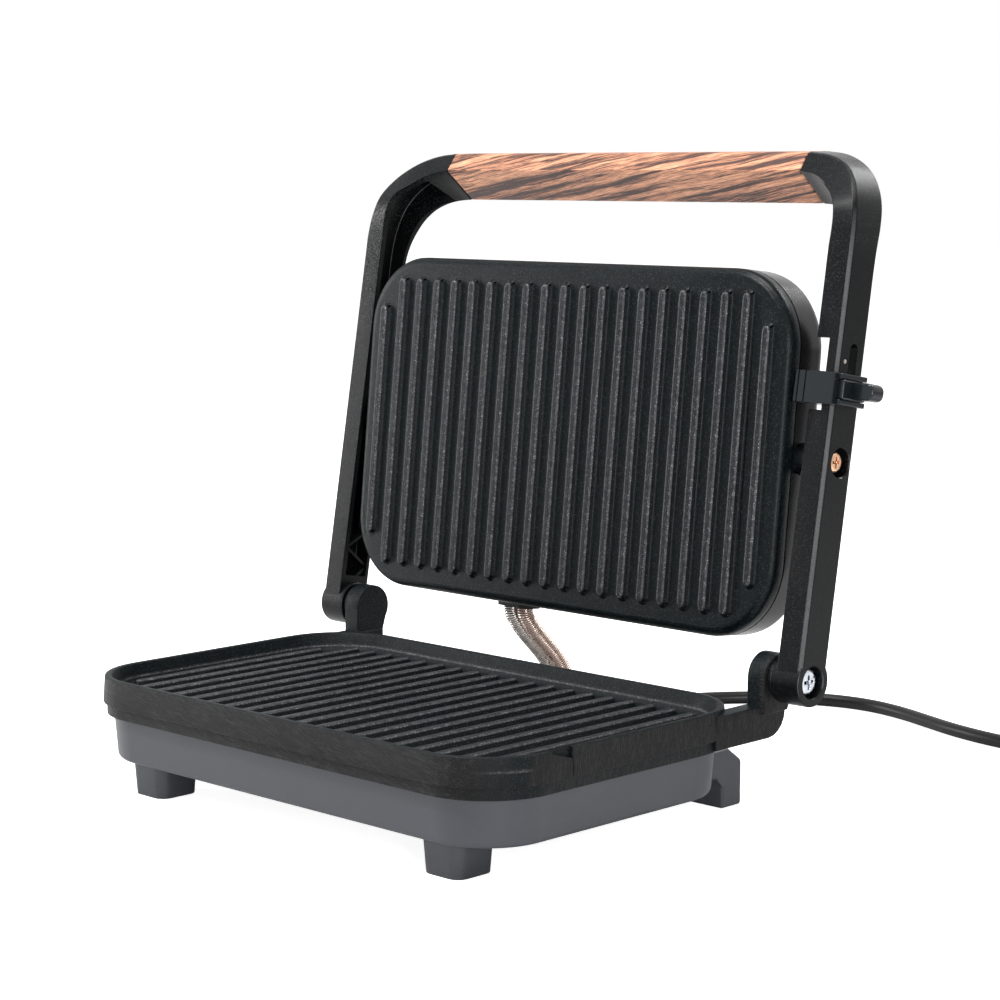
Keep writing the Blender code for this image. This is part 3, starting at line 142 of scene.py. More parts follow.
# The right arm's outline along its length, seven corners each: across, backwards and up the arm, in mm
ARM_SECTIONS = (
    ((121.9, -8.7, 0.0), (131.4, -8.7, 0.0), (132.9, -7.2, 0.0), (132.9, 6.7, 0.0), (131.4, 8.2, 0.0),
     (123.4, 8.2, 0.0), (121.9, 7.2, 0.0)),
    ((121.9, -8.7, 150.0), (131.4, -8.7, 152.0), (132.9, -7.2, 152.0), (132.9, 6.7, 152.0),
     (131.4, 8.2, 152.0), (123.4, 8.2, 150.0), (121.9, 7.2, 150.0)),
    ((121.9, -8.7, 162.0), (131.3, -8.5, 165.0), (132.7, -7.0, 165.0), (132.8, 7.2, 165.0),
     (131.3, 8.8, 164.0), (123.0, 9.6, 161.0), (121.5, 8.6, 160.0)),
    ((122.1, -8.5, 172.0), (130.6, -7.7, 173.0), (131.9, -6.3, 173.5), (132.3, 8.4, 173.5),
     (130.8, 10.4, 172.5), (122.0, 11.9, 168.5), (120.4, 10.9, 167.0)),
    ((120.9, -7.8, 178.5), (128.9, -6.4, 180.0), (130.1, -4.9, 180.8), (130.6, 9.9, 181.0),
     (129.0, 12.5, 179.8), (120.3, 14.6, 174.5), (118.4, 13.2, 172.8)),
    ((118.0, -6.2, 182.6), (125.6, -3.6, 186.3), (126.7, -2.2, 187.0), (127.2, 11.7, 187.6),
     (125.7, 14.9, 186.2), (117.3, 17.4, 179.4), (114.6, 15.1, 177.4)),
    ((114.0, -3.6, 186.0), (121.0, -0.7, 191.4), (122.0, 0.5, 192.2), (122.5, 13.6, 193.2),
     (121.2, 17.4, 191.4), (113.2, 20.3, 183.2), (110.2, 16.7, 180.2)),
    ((108.8, -1.2, 189.4), (114.6, 2.0, 195.9), (115.3, 3.1, 196.7), (115.8, 15.3, 198.2),
     (114.7, 20.2, 195.9), (107.9, 23.0, 186.2), (105.4, 17.8, 181.8)),
    ((103.0, 0.4, 191.7), (106.4, 3.9, 199.0), (106.8, 4.9, 199.7), (107.0, 16.5, 201.8),
     (106.5, 22.6, 199.2), (102.6, 24.8, 188.1), (101.0, 18.4, 182.5)),
    ((96.8, 1.0, 192.8), (96.8, 4.8, 200.3), (96.8, 5.8, 201.0), (96.8, 17.0, 203.2), (96.8, 23.8, 200.8),
     (96.8, 25.6, 189.0), (96.8, 18.6, 182.8)),
)
CHANNEL_LAST = 7
BEND_STEPS = 4
ARM_X = (0.1219, 0.1329)
ARM_V = (-0.0087, 0.0082)
ARM_WEB = 0.0029
ARM_FLANGE = 0.0023
LATCH_UP_ARM = 0.1097
GRIP_HALF = 0.0965
GRIP_CORE = (0.0135, 0.1930)
COVER_DEPTH = 0.0179
COVER_DOME = 0.0080
COVER_WALL = 0.0024

ARM_PLACE = (
    Matrix.Translation(OFFSET + Vector((0, HINGE[0], HINGE[1]))) @ Matrix.Rotation(-ARM_TILT, 4, "X")
)
PIVOT = ARM_PLACE @ Vector((0, PIVOT_BACK, PIVOT_UP_ARM))
PLATE_PLACE = Matrix.Translation(PIVOT) @ Matrix.Rotation(-PLATE_TILT, 4, "X")


# ---------- camera


def add_camera():
    data = bpy.data.cameras.new("camera")
    data.sensor_width = 36.0
    data.lens = 91.63
    data.clip_start = 0.01
    data.clip_end = 50.0
    camera = bpy.data.objects.new("camera", data)
    bpy.context.scene.collection.objects.link(camera)
    camera.location = Vector((0.70271, -0.66507, 0.24526)) + OFFSET
    camera.rotation_euler = (math.radians(90 - 7.356), 0.0, math.radians(44.41))
    bpy.context.scene.camera = camera


# ---------- hand tools


def new_object(name, data):
    obj = bpy.data.objects.new(name, data)
    bpy.context.scene.collection.objects.link(obj)
    return obj


def clear_selection():
    if bpy.context.object and bpy.context.object.mode != "OBJECT":
        bpy.ops.object.mode_set(mode="OBJECT")
    bpy.ops.object.select_all(action="DESELECT")


def take(obj):
    clear_selection()
    bpy.context.view_layer.objects.active = obj
    obj.select_set(True)
    return obj


def edit(obj):
    take(obj)
    bpy.ops.object.mode_set(mode="EDIT")


def edit_all(obj):
    edit(obj)
    bpy.ops.mesh.select_all(action="SELECT")


def done():
    bpy.ops.object.mode_set(mode="OBJECT")


def pick_faces(obj, test):
    """Selects the faces whose middle and normal pass the test, and nothing else."""
    bpy.ops.mesh.select_mode(type="FACE")
    bpy.ops.mesh.select_all(action="DESELECT")
    for face in bmesh.from_edit_mesh(obj.data).faces:
        if test(face.calc_center_median(), face.normal):
            face.select_set(True)
    bmesh.update_edit_mesh(obj.data)


def round_picked(obj, width, segments, test):
    """In edit mode, rounds the edges whose two ends pass the test."""
    bpy.ops.mesh.select_mode(type="EDGE")
    bpy.ops.mesh.select_all(action="DESELECT")
    for edge in bmesh.from_edit_mesh(obj.data).edges:
        if test(edge.verts[0].co, edge.verts[1].co):
            edge.select_set(True)
    bmesh.update_edit_mesh(obj.data)
    bpy.ops.mesh.bevel(offset=width, offset_pct=0, segments=segments, affect="EDGES", profile=0.5)


def round_edges(obj, width, segments, test):
    """Rounds the edges whose two ends pass the test, and hands the piece back."""
    edit(obj)
    round_picked(obj, width, segments, test)
    done()
    return obj


def along(axis):
    """A test for the edges that run along one axis: 0, 1 or 2."""
    return lambda a, b: abs(a[axis] - b[axis]) > 0.001


def at_height(z, reach=1e-5):
    """A test for the edges whose two ends lie at one height."""
    return lambda a, b: abs(a.z - z) < reach and abs(b.z - z) < reach


def block(name, low, high):
    """A box between two corners, ready to be shaped."""
    clear_selection()
    low = Vector(low)
    high = Vector(high)
    bpy.ops.mesh.primitive_cube_add(size=1, location=(low + high) / 2, scale=high - low)
    obj = bpy.context.object
    obj.name = name
    bpy.ops.object.transform_apply(location=True, rotation=True, scale=True)
    return obj


def drum(name, radius, depth, place, sides=48):
    """A short cylinder about its own Z, put at place."""
    clear_selection()
    bpy.ops.mesh.primitive_cylinder_add(vertices=sides, radius=radius, depth=depth)
    bpy.context.object.name = name
    return put(bpy.context.object, place)


def drum_across(name, radius, ends, centre, sides=48):
    """A short cylinder along X between two x values, with its axis at centre (y, z)."""
    place = shift(sum(ends) / 2, *centre) @ Matrix.Rotation(math.pi / 2, 4, "Y")
    return drum(name, radius, abs(ends[1] - ends[0]), place, sides)


def on_side(sign, low, high):
    """Two x values on the chosen side of the press, in rising order."""
    return (low, high) if sign > 0 else (-high, -low)


def shift(x, y, z):
    return Matrix.Translation((x, y, z))


def put(obj, place):
    """Moves a piece to its place and leaves the place in its mesh."""
    obj.matrix_world = place
    take(obj)
    bpy.ops.object.transform_apply(location=True, rotation=True, scale=True)
    return obj


def merge(first, *others):
    """Joins loose shapes into one piece."""
    clear_selection()
    for obj in (first, *others):
        obj.select_set(True)
    bpy.context.view_layer.objects.active = first
    bpy.ops.object.join()
    return first


def apply_modifiers(obj):
    take(obj)
    for modifier in list(obj.modifiers):
        bpy.ops.object.modifier_apply(modifier=modifier.name)
    return obj


def combine(target, other, operation="UNION"):
    """Adds one closed shape to another."""
    modifier = target.modifiers.new("combine", "BOOLEAN")
    modifier.operation = operation
    modifier.solver = "EXACT"
    modifier.object = other
    apply_modifiers(target)
    bpy.data.objects.remove(other, do_unlink=True)
    return target


def cut(target, other):
    """Cuts one closed shape out of another."""
    return combine(target, other, "DIFFERENCE")


def cut_opening(target, low, high, corner, steps, axis):
    """Cuts a hole with rounded corners between two places, straight through along one axis."""
    cut(target, round_edges(block("opening", low, high), corner, steps, along(axis)))


def soften(obj, width, segments=3, angle=35):
    """Rounds every edge that is sharper than the angle."""
    modifier = obj.modifiers.new("soften", "BEVEL")
    modifier.width = width
    modifier.segments = segments
    modifier.limit_method = "ANGLE"
    modifier.angle_limit = math.radians(angle)
    return apply_modifiers(obj)


def smooth(obj, angle=32):
    """Smooth shading with crisp corners, and flats that stay flat beside their rounded edges."""
    take(obj)
    bpy.ops.object.shade_smooth_by_angle(angle=math.radians(angle))
    modifier = obj.modifiers.new("flat_faces", "WEIGHTED_NORMAL")
    modifier.keep_sharp = True
    return apply_modifiers(obj)


def smooth_casting(obj, angle=38):
    """Smooth shading for the ribbed plates, whose large flats round the ribs stay flat."""
    take(obj)
    bpy.ops.object.shade_smooth_by_angle(angle=math.radians(angle))
    for face in obj.data.polygons:
        if face.area > 0.00001 and len(face.vertices) > 6:
            face.use_smooth = False
    return obj


def loft(name, rings):
    """A closed skin through several outlines with the same number of corners."""
    count = len(rings[0])
    faces = [tuple(reversed(range(count)))]
    for ring in range(len(rings) - 1):
        for corner in range(count):
            a = ring * count + corner
            b = ring * count + (corner + 1) % count
            faces.append((a, b, b + count, a + count))
    faces.append(tuple((len(rings) - 1) * count + corner for corner in range(count)))
    mesh = bpy.data.meshes.new(name)
    mesh.from_pydata([point for ring in rings for point in ring], [], faces)
    return face_outwards(new_object(name, mesh))


def face_outwards(obj):
    edit_all(obj)
    bpy.ops.mesh.normals_make_consistent(inside=False)
    done()
    return obj


def copy_of(node, name):
    """A merged copy of a CAD node's mesh, to be finished by hand."""
    source = frame["nodes"][node]
    obj = new_object(name, source.data.copy())
    obj.data.materials.clear()
    put(obj, source.matrix_world)
    edit_all(obj)
    bpy.ops.mesh.remove_doubles(threshold=MERGE_DISTANCE)
    bpy.ops.mesh.dissolve_limited(angle_limit=math.radians(0.5))
    done()
    return obj


def finish(obj, body, material, stands_for=()):
    """Gives a piece its material, its body and the CAD nodes that it stands for."""
    obj.data.materials.clear()
    obj.data.materials.append(material)
    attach(obj, body)
    if stands_for:
        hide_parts(*stands_for)
    return obj


# ---------- node tools


def feed(tree, item, socket):
    """Links a value to a socket, or writes a plain number or colour on it."""
    if isinstance(item, bpy.types.NodeSocket):
        tree.links.new(item, socket)
    elif isinstance(item, tuple):
        socket.default_value = (*item, 1.0)
    else:
        socket.default_value = item


def value_node(tree, operation, *items):
    made = tree.nodes.new("ShaderNodeMath")
    made.operation = operation
    for socket, item in zip(made.inputs, items):
        feed(tree, item, socket)
    return made.outputs[0]


def times(tree, first, second):
    return value_node(tree, "MULTIPLY", first, second)


def plus(tree, first, second):
    return value_node(tree, "ADD", first, second)


def minus(tree, first, second):
    return value_node(tree, "SUBTRACT", first, second)


def unsigned(tree, value):
    return value_node(tree, "ABSOLUTE", value)


def noise(tree, vector, scale=1.0, detail=3.0, roughness=0.55):
    made = tree.nodes.new("ShaderNodeTexNoise")
    made.inputs["Detail"].default_value = detail
    made.inputs["Roughness"].default_value = roughness
    feed(tree, scale, made.inputs["Scale"])
    feed(tree, vector, made.inputs["Vector"])
    return made.outputs["Fac"]


def spread(tree, value, low, high, to_low, to_high):
    """Carries one range of a value to another, and holds it there beyond both ends."""
    made = tree.nodes.new("ShaderNodeMapRange")
    made.clamp = True
    for label, number in (("From Min", low), ("From Max", high), ("To Min", to_low), ("To Max", to_high)):
        made.inputs[label].default_value = number
    feed(tree, value, made.inputs["Value"])
    return made.outputs["Result"]


def stretch(tree, vector, scale=(1.0, 1.0, 1.0), turn=(0.0, 0.0, 0.0)):
    made = tree.nodes.new("ShaderNodeMapping")
    made.inputs["Scale"].default_value = scale
    made.inputs["Rotation"].default_value = turn
    feed(tree, vector, made.inputs["Vector"])
    return made.outputs["Vector"]


def parts_of(tree, vector):
    made = tree.nodes.new("ShaderNodeSeparateXYZ")
    feed(tree, vector, made.inputs["Vector"])
    return made.outputs


def facing(tree):
    """How far the surface faces along X, Y and Z."""
    return parts_of(tree, tree.nodes.new("ShaderNodeNewGeometry").outputs["Normal"])


def mix_colours(tree, factor, first, second):
    made = tree.nodes.new("ShaderNodeMix")
    made.data_type = "RGBA"
    for index, item in ((0, factor), (6, first), (7, second)):
        feed(tree, item, made.inputs[index])
    return made.outputs[2]


# ---------- shader groups


def new_group(name, numbers, results):
    """A group that takes a vector and numbers and gives values; with it, its entry and exit sockets."""
    group = bpy.data.node_groups.new(name, "ShaderNodeTree")
    group.interface.new_socket(name="Vector", in_out="INPUT", socket_type="NodeSocketVector")
    for label, value in numbers.items():
        socket = group.interface.new_socket(name=label, in_out="INPUT", socket_type="NodeSocketFloat")
        socket.default_value = value
    for label in results:
        group.interface.new_socket(name=label, in_out="OUTPUT", socket_type="NodeSocketFloat")
    return group, group.nodes.new("NodeGroupInput").outputs, group.nodes.new("NodeGroupOutput").inputs


def sprayed_coat_group():
    """The pebbled skin of a sprayed coating: its height, its bright grains and slow patches of sheen."""
    group, entry, leave = new_group("sprayed_coat", {"Grain Size": 0.0005}, ("Height", "Grains", "Patches"))
    scale = value_node(group, "DIVIDE", 1.0, entry["Grain Size"])
    fine = noise(group, entry["Vector"], times(group, scale, 0.6), 2.0, 0.6)
    cells = group.nodes.new("ShaderNodeTexVoronoi")
    feed(group, entry["Vector"], cells.inputs["Vector"])
    feed(group, scale, cells.inputs["Scale"])
    shade = group.nodes.new("ShaderNodeSeparateColor")
    feed(group, cells.outputs["Color"], shade.inputs["Color"])
    chosen = spread(group, shade.outputs["Red"], 0.66, 0.95, 0.0, 1.0)
    body = spread(group, cells.outputs["Distance"], 0.25, 0.55, 1.0, 0.0)
    broad = noise(group, entry["Vector"], 22.0, 2.0)
    feed(group, plus(group, times(group, fine, 0.6), times(group, body, 0.4)), leave["Height"])
    feed(group, times(group, chosen, body), leave["Grains"])
    feed(group, spread(group, broad, 0.35, 0.65, 0.0, 1.0), leave["Patches"])


def brushed_streaks_group():
    """Fine strokes along the vector's Z, as a brush leaves them in wet paint: the mask of the strokes."""
    group, entry, leave = new_group("brushed_streaks", {}, ("Streaks",))
    fine = noise(group, stretch(group, entry["Vector"], (2300.0, 2300.0, 190.0)), 1.0, 3.0, 0.7)
    wide = noise(group, stretch(group, entry["Vector"], (600.0, 600.0, 70.0)), 1.0, 2.0)
    both = plus(group, times(group, fine, 0.78), times(group, wide, 0.22))
    feed(group, spread(group, both, 0.50, 0.64, 0.0, 1.0), leave["Streaks"])


def crest_highlight_and_wear_group():
    """Painted highlight along the ribs, partly rub wear as well: strongest on the shoulders of the ribs,
    less on their flat crests.
    """
    group, entry, leave = new_group("crest_highlight_and_wear", {"Plate": 0.0}, ("Highlight_And_Wear",))
    up = minus(group, parts_of(group, entry["Vector"])["Z"], entry["Plate"])
    # mask of the painted highlight, partly rub wear, on the rib shoulders and crests
    crest = times(group, spread(group, up, RIB_HEIGHT * 0.66, RIB_HEIGHT * 0.84, 0.0, 1.0),
                  spread(group, up, RIB_HEIGHT * 0.955, RIB_HEIGHT * 0.995, 1.0, 0.22))
    below = spread(group, up, RIB_HEIGHT * 1.10, RIB_HEIGHT * 1.25, 1.0, 0.0)
    patchy = spread(group, noise(group, entry["Vector"], 420.0), 0.35, 0.65, 0.45, 1.0)
    feed(group, times(group, times(group, crest, below), patchy), leave["Highlight_And_Wear"])


def use_group(tree, name, vector, **values):
    made = tree.nodes.new("ShaderNodeGroup")
    made.node_tree = bpy.data.node_groups[name]
    feed(tree, vector, made.inputs["Vector"])
    for label, value in values.items():
        made.inputs[label.replace("_", " ")].default_value = value
    return made.outputs


# ---------- materials


def new_material(name, roughness, metallic=0.0, gloss=0.5):
    """A material with its Principled shader and the piece's own coordinates."""
    material = bpy.data.materials.new(name)
    material.use_nodes = True
    tree = material.node_tree
    shader = tree.nodes["Principled BSDF"]
    shader.inputs["Roughness"].default_value = roughness
    shader.inputs["Metallic"].default_value = metallic
    shader.inputs["Specular IOR Level"].default_value = gloss
    return material, tree, shader, tree.nodes.new("ShaderNodeTexCoord").outputs["Object"]


def surface(tree, shader, colour, roughness, height, depth):
    """Gives the shader its colour, its roughness and its fine relief, depth in metres."""
    feed(tree, colour, shader.inputs["Base Color"])
    feed(tree, roughness, shader.inputs["Roughness"])
    relief = tree.nodes.new("ShaderNodeBump")
    relief.inputs["Distance"].default_value = depth
    feed(tree, height, relief.inputs["Height"])
    feed(tree, relief.outputs["Normal"], shader.inputs["Normal"])


def painted_material(name, dark, light, roughness, grain, depth, gloss, rub_and_highlight=None):
    """Sprayed paint with a few bright grains, slow changes of sheen and, if wanted, a painted highlight on
    the diagonal chamfers, partly rubbed paint.
    """
    material, tree, shader, here = new_material(name, roughness, gloss=gloss)
    coat = use_group(tree, "sprayed_coat", here, Grain_Size=grain)
    colour = mix_colours(tree, coat["Grains"], dark, light)
    if rub_and_highlight:
        # painted highlight, partly rubbed paint: lighter paint on the faces that point along the diagonals,
        # the chamfers
        face = facing(tree)
        diagonal = times(tree, unsigned(tree, face["X"]), unsigned(tree, face["Y"]))
        highlight_breakup = spread(tree, coat["Height"], 0.30, 0.62, 0.55, 1.0)
        edge = times(tree, spread(tree, diagonal, 0.40, 0.49, 0.0, 1.0), highlight_breakup)
        colour = mix_colours(tree, edge, colour, rub_and_highlight)
    sheen = spread(tree, coat["Patches"], 0.0, 1.0, roughness - 0.06, roughness + 0.06)
    surface(tree, shader, colour, sheen, coat["Height"], depth)
    return material


def coating_colour(tree, coat, highlight_and_wear):
    """Speckled black, painted brighter along the rib crests: a painted highlight, partly rub wear."""
    speckled = mix_colours(tree, coat["Grains"], (0.0010, 0.0030, 0.0037), (0.029, 0.037, 0.040))
    # painted highlight, partly rub wear: the rib crests are much brighter, with bright grains
    rub_and_highlight = mix_colours(tree, coat["Grains"], (0.070, 0.072, 0.074), (0.40, 0.41, 0.42))
    return mix_colours(tree, highlight_and_wear, speckled, rub_and_highlight)


def plate_coating(name, tilt, pivot, plate_height):
    """The release coating: speckled black, with a painted highlight, partly rub wear, along the crests of
    the ribs.
    """
    material, tree, shader, here = new_material(name, 0.30, gloss=COATING_GLOSS)
    coat = use_group(tree, "sprayed_coat", here, Grain_Size=COATING_GRAIN)
    flat = tree.nodes.new("ShaderNodeMapping")
    flat.vector_type = "TEXTURE"
    flat.inputs["Location"].default_value = pivot
    flat.inputs["Rotation"].default_value = (tilt, 0.0, 0.0)
    feed(tree, here, flat.inputs["Vector"])
    highlight_and_wear = use_group(tree, "crest_highlight_and_wear", flat.outputs["Vector"], Plate=plate_height)["Highlight_And_Wear"]
    sheen = minus(tree, spread(tree, coat["Patches"], 0.0, 1.0, 0.30, 0.38), times(tree, highlight_and_wear, 0.04))
    surface(tree, shader, coating_colour(tree, coat, highlight_and_wear), sheen, coat["Height"], 0.00006)
    return material


def tray_coating():
    """The tray's coating: speckled inside, with brush strokes on the outer wall and a painted highlight,
    partly rub wear, on the rib crests.
    """
    material, tree, shader, here = new_material("tray_coating", 0.34, gloss=COATING_GLOSS)
    coat = use_group(tree, "sprayed_coat", here, Grain_Size=COATING_GRAIN)
    highlight_and_wear = use_group(tree, "crest_highlight_and_wear", here, Plate=TRAY_FLOOR_Z)["Highlight_And_Wear"]
    face = facing(tree)
    upright = spread(tree, unsigned(tree, face["Z"]), 0.25, 0.6, 1.0, 0.0)
    sideways = spread(tree, unsigned(tree, face["X"]), 0.55, 0.9, 0.0, 1.0)
    along_front = use_group(tree, "brushed_streaks", stretch(tree, here, turn=(0, math.radians(77), 0)))
    down_sides = use_group(tree, "brushed_streaks", stretch(tree, here, turn=(math.radians(10), 0, 0)))
    strokes = tree.nodes.new("ShaderNodeMix")
    for index, item in ((0, sideways), (2, along_front["Streaks"]), (3, down_sides["Streaks"])):
        feed(tree, item, strokes.inputs[index])
    place = parts_of(tree, here)
    from_middle = unsigned(tree, minus(tree, place["X"], OFFSET.x))
    forwards = minus(tree, OFFSET.y, place["Y"])
    outside = value_node(tree, "MAXIMUM",
                         spread(tree, from_middle, TRAY_HALF[0] - 0.0012, TRAY_HALF[0] - 0.0006, 0.0, 1.0),
                         spread(tree, forwards, TRAY_HALF[1] - 0.016, TRAY_HALF[1] - 0.004, 0.0, 1.0))
    wall = times(tree, upright, outside)
    brushed = times(tree, wall, strokes.outputs[0])
    side = mix_colours(tree, wall, coating_colour(tree, coat, highlight_and_wear), (0.0060, 0.0062, 0.0066))
    colour = mix_colours(tree, brushed, side, (0.034, 0.033, 0.033))
    sheen = minus(tree, spread(tree, coat["Patches"], 0.0, 1.0, 0.38, 0.50), times(tree, highlight_and_wear, 0.08))
    surface(tree, shader, colour, sheen, plus(tree, coat["Height"], times(tree, brushed, 1.2)), 0.00020)
    return material


def moulded_material(name, colour, roughness, depth=0.00004, gloss=0.4):
    """Moulded plastic with a fine spark-eroded texture."""
    material, tree, shader, here = new_material(name, roughness, gloss=gloss)
    coat = use_group(tree, "sprayed_coat", here, Grain_Size=0.00040)
    paler = tuple(channel * 1.25 for channel in colour)
    sheen = spread(tree, coat["Patches"], 0.0, 1.0, roughness - 0.05, roughness + 0.05)
    surface(tree, shader, mix_colours(tree, coat["Grains"], colour, paler), sheen, coat["Height"], depth)
    return material


def wood_material():
    """Reddish wood with long dark streaks that climb at a slant round the grip, and fine open grain."""
    material, tree, shader, here = new_material("grip_wood", 0.42, gloss=0.4)
    wrap = tree.nodes.new("ShaderNodeUVMap")
    wrap.uv_map = "wrap"
    slanted = stretch(tree, wrap.outputs["UV"], turn=(0.0, 0.0, math.radians(-13)))
    sway = noise(tree, stretch(tree, slanted, (20.0, 60.0, 1.0)), 1.0, 2.0)
    offset = tree.nodes.new("ShaderNodeCombineXYZ")
    feed(tree, times(tree, sway, 0.0050), offset.inputs["Y"])
    swayed = tree.nodes.new("ShaderNodeVectorMath")
    swayed.operation = "ADD"
    feed(tree, slanted, swayed.inputs[0])
    feed(tree, offset.outputs["Vector"], swayed.inputs[1])
    line = swayed.outputs["Vector"]
    broad = noise(tree, stretch(tree, line, (9.0, 260.0, 1.0)), 1.0, 2.0)
    thin = noise(tree, stretch(tree, line, (24.0, 900.0, 1.0)), 1.0, 6.0, 0.75)
    fibres = noise(tree, stretch(tree, line, (110.0, 3000.0, 1.0)), 1.0, 3.0, 0.7)
    bands = plus(tree, times(tree, broad, 0.36), times(tree, thin, 0.44))
    mixed = plus(tree, bands, times(tree, fibres, 0.20))
    tone = spread(tree, broad, 0.35, 0.65, 0.0, 1.0)
    light = mix_colours(tree, tone, (0.42, 0.16, 0.088), (0.90, 0.45, 0.26))
    fibred = mix_colours(tree, spread(tree, fibres, 0.42, 0.57, 0.75, 0.0), light, (0.20, 0.070, 0.042))
    streaks = spread(tree, mixed, 0.460, 0.512, 0.95, 0.0)
    height = minus(tree, times(tree, fibres, 0.8), times(tree, streaks, 0.5))
    surface(tree, shader, mix_colours(tree, streaks, fibred, (0.030, 0.012, 0.009)),
            spread(tree, fibres, 0.3, 0.7, 0.36, 0.52), height, 0.00022)
    return material


def conduit_material(name, colour, groove_shade_colour):
    """Strip-wound metal, with painted shade in the grooves between its turns."""
    material, tree, shader, here = new_material(name, 0.30, 1.0)
    coat = use_group(tree, "sprayed_coat", here, Grain_Size=0.0009)
    grooves = tree.nodes.new("ShaderNodeAttribute")
    grooves.attribute_name = "groove"
    paler = tuple(min(1.0, channel * 1.15) for channel in colour)
    plated = mix_colours(tree, coat["Patches"], colour, paler)
    # painted shade: the metal is darkened on the groove rings
    surface(tree, shader, mix_colours(tree, grooves.outputs["Fac"], plated, groove_shade_colour),
            spread(tree, coat["Height"], 0.3, 0.7, 0.24, 0.42), coat["Height"], 0.00002)
    return material


def stained_material(name, first, second, smoothest, roughest, grain=0.0012, metallic=1.0, depth=0.00002):
    """Plated metal or glaze with faint marks, and slow stains from the first colour to the second."""
    material, tree, shader, here = new_material(name, smoothest, metallic)
    coat = use_group(tree, "sprayed_coat", here, Grain_Size=grain)
    surface(tree, shader, mix_colours(tree, coat["Patches"], first, second),
            spread(tree, coat["Height"], 0.3, 0.7, smoothest, roughest), coat["Height"], depth)
    return material


def metal_material(name, colour, roughness):
    darker = tuple(channel * 0.72 for channel in colour)
    return stained_material(name, colour, darker, roughness - 0.08, roughness + 0.1)


# ---------- lead


def smooth_points(points, steps):
    """Points on one smooth curve through the given ones."""
    places = [Vector(point) for point in points]
    places = [places[0] * 2 - places[1]] + places + [places[-1] * 2 - places[-2]]
    found = []
    for index in range(1, len(places) - 2):
        before, start, end, after = places[index - 1:index + 3]
        for step in range(steps):
            t = step / steps
            found.append(
                0.5 * (2 * start + (end - before) * t
                       + (2 * before - 5 * start + 4 * end - after) * t * t
                       + (3 * start - before - 3 * end + after) * t * t * t)
            )
    found.append(places[-2])
    return found


def wire(name, points, radius):
    data = bpy.data.curves.new(name, "CURVE")
    data.dimensions = "3D"
    data.bevel_depth = radius
    data.bevel_resolution = 5
    data.use_fill_caps = True
    spline = data.splines.new("POLY")
    spline.points.add(len(points) - 1)
    for point, place in zip(spline.points, points):
        point.co = (*place, 1.0)
    return new_object(name, data)


def lead_points():
    """The laid part of the lead, then its stacked turns, then the short end to the plug."""
    radius = CORD_DIAMETER / 2
    points = smooth_points(CORD_ROUTE, 4)[:-1]
    start_angle = math.radians(-90)
    steps = 72
    for step in range(steps + 1):
        turn = COIL_TURNS * step / steps
        angle = start_angle + 2 * math.pi * turn
        height = radius + COIL_FLOOR_GAP + CORD_DIAMETER * turn
        points.append(COIL_CENTRE + Vector((COIL_RADIUS * math.cos(angle), COIL_RADIUS * math.sin(angle),
                                            height)))
    end = points[-1]
    points.append(end + Vector((0.0000, 0.0080, -0.0006)))
    points.append(end + Vector((0.0000, 0.0160, -0.0022)))
    points.append(end + Vector((0.0000, 0.0250, -0.0036)))
    return [point + OFFSET for point in points]


def add_lead(material, rubber, metal):
    points = lead_points()
    lead = wire("mains_lead", points, CORD_DIAMETER / 2)
    finish(lead, "base", material, ("power_cord", "cord_coil"))
    plug = smooth(soften(copy_of("plug_body", "plug"), 0.0006, 2, 25))
    finish(plug, "base", rubber, ("plug_body",))
    gland = strain_relief()
    finish(gland, "base", rubber, ("cord_gland",))
    pins = []
    for name in ("plug_blade_left", "plug_blade_right", "plug_earth_pin"):
        pin = smooth(soften(copy_of(name, name + "_finished"), 0.0002, 2, 40))
        pins.append(finish(pin, "base", metal, (name,)))
    tie = finish(coil_tie(), "base", rubber)
    return lead, [plug, *pins, tie], points


def coil_tie():
    """A rubber strap with a clasp round the coil's two turns, on the side towards the press."""
    half = CORD_DIAMETER / 2 + 0.00012
    wall = 0.0007
    shapes = []
    for name, grow, depth in (("coil_tie", wall, 0.0020), ("tie_opening", 0.0, 0.0030)):
        width = half + grow
        height = width + CORD_DIAMETER / 2
        shape = block(name, (-width, -depth, -height), (width, depth, height))
        round_edges(shape, width - 0.00001, 10, along(1))
        shapes.append(shape)
    tie = soften(cut(shapes[0], shapes[1]), 0.0002, 2, 40)
    clasp = block("clasp", (-half - 0.0018, -0.0027, -0.0021), (-half - 0.0003, 0.0027, 0.0021))
    combine(tie, soften(clasp, 0.0005, 3, 40))
    middle = CORD_DIAMETER / 2 + COIL_FLOOR_GAP + CORD_DIAMETER * 1.25
    tie.data.transform(Matrix.Translation(OFFSET + COIL_CENTRE + Vector((-COIL_RADIUS, 0, middle))))
    return smooth(tie, 40)


def strain_relief():
    """A tapered sleeve with moulded rings, pushed through the housing's rear wall."""
    bore = CORD_DIAMETER / 2 + 0.00025
    profile = [(bore, 0.0300), (bore + 0.0009, 0.0300), (bore + 0.0013, 0.0293)]
    for ring in range(6):
        top = 0.0280 - ring * 0.0040
        radius = 0.0043 + ring * 0.00022
        profile += [(radius, top), (radius, top - 0.0022), (radius - 0.0009, top - 0.0026),
                    (radius - 0.0009, top - 0.0036)]
    profile += [(0.0056, 0.0030), (0.0066, 0.0026), (0.0070, 0.0022), (0.0070, 0.0008), (0.0068, 0.0006),
                (0.0048, 0.0006), (0.0048, -0.0034), (0.0062, -0.0034), (0.0062, -0.0050), (bore, -0.0050)]
    on_wall = Matrix.Translation(OFFSET + Vector(CORD_ROUTE[0]) + Vector((0, 0.00395, 0)))
    return smooth(lathe("strain_relief", profile, on_wall @ Matrix.Rotation(-math.pi / 2, 4, "X"), 40), 40)


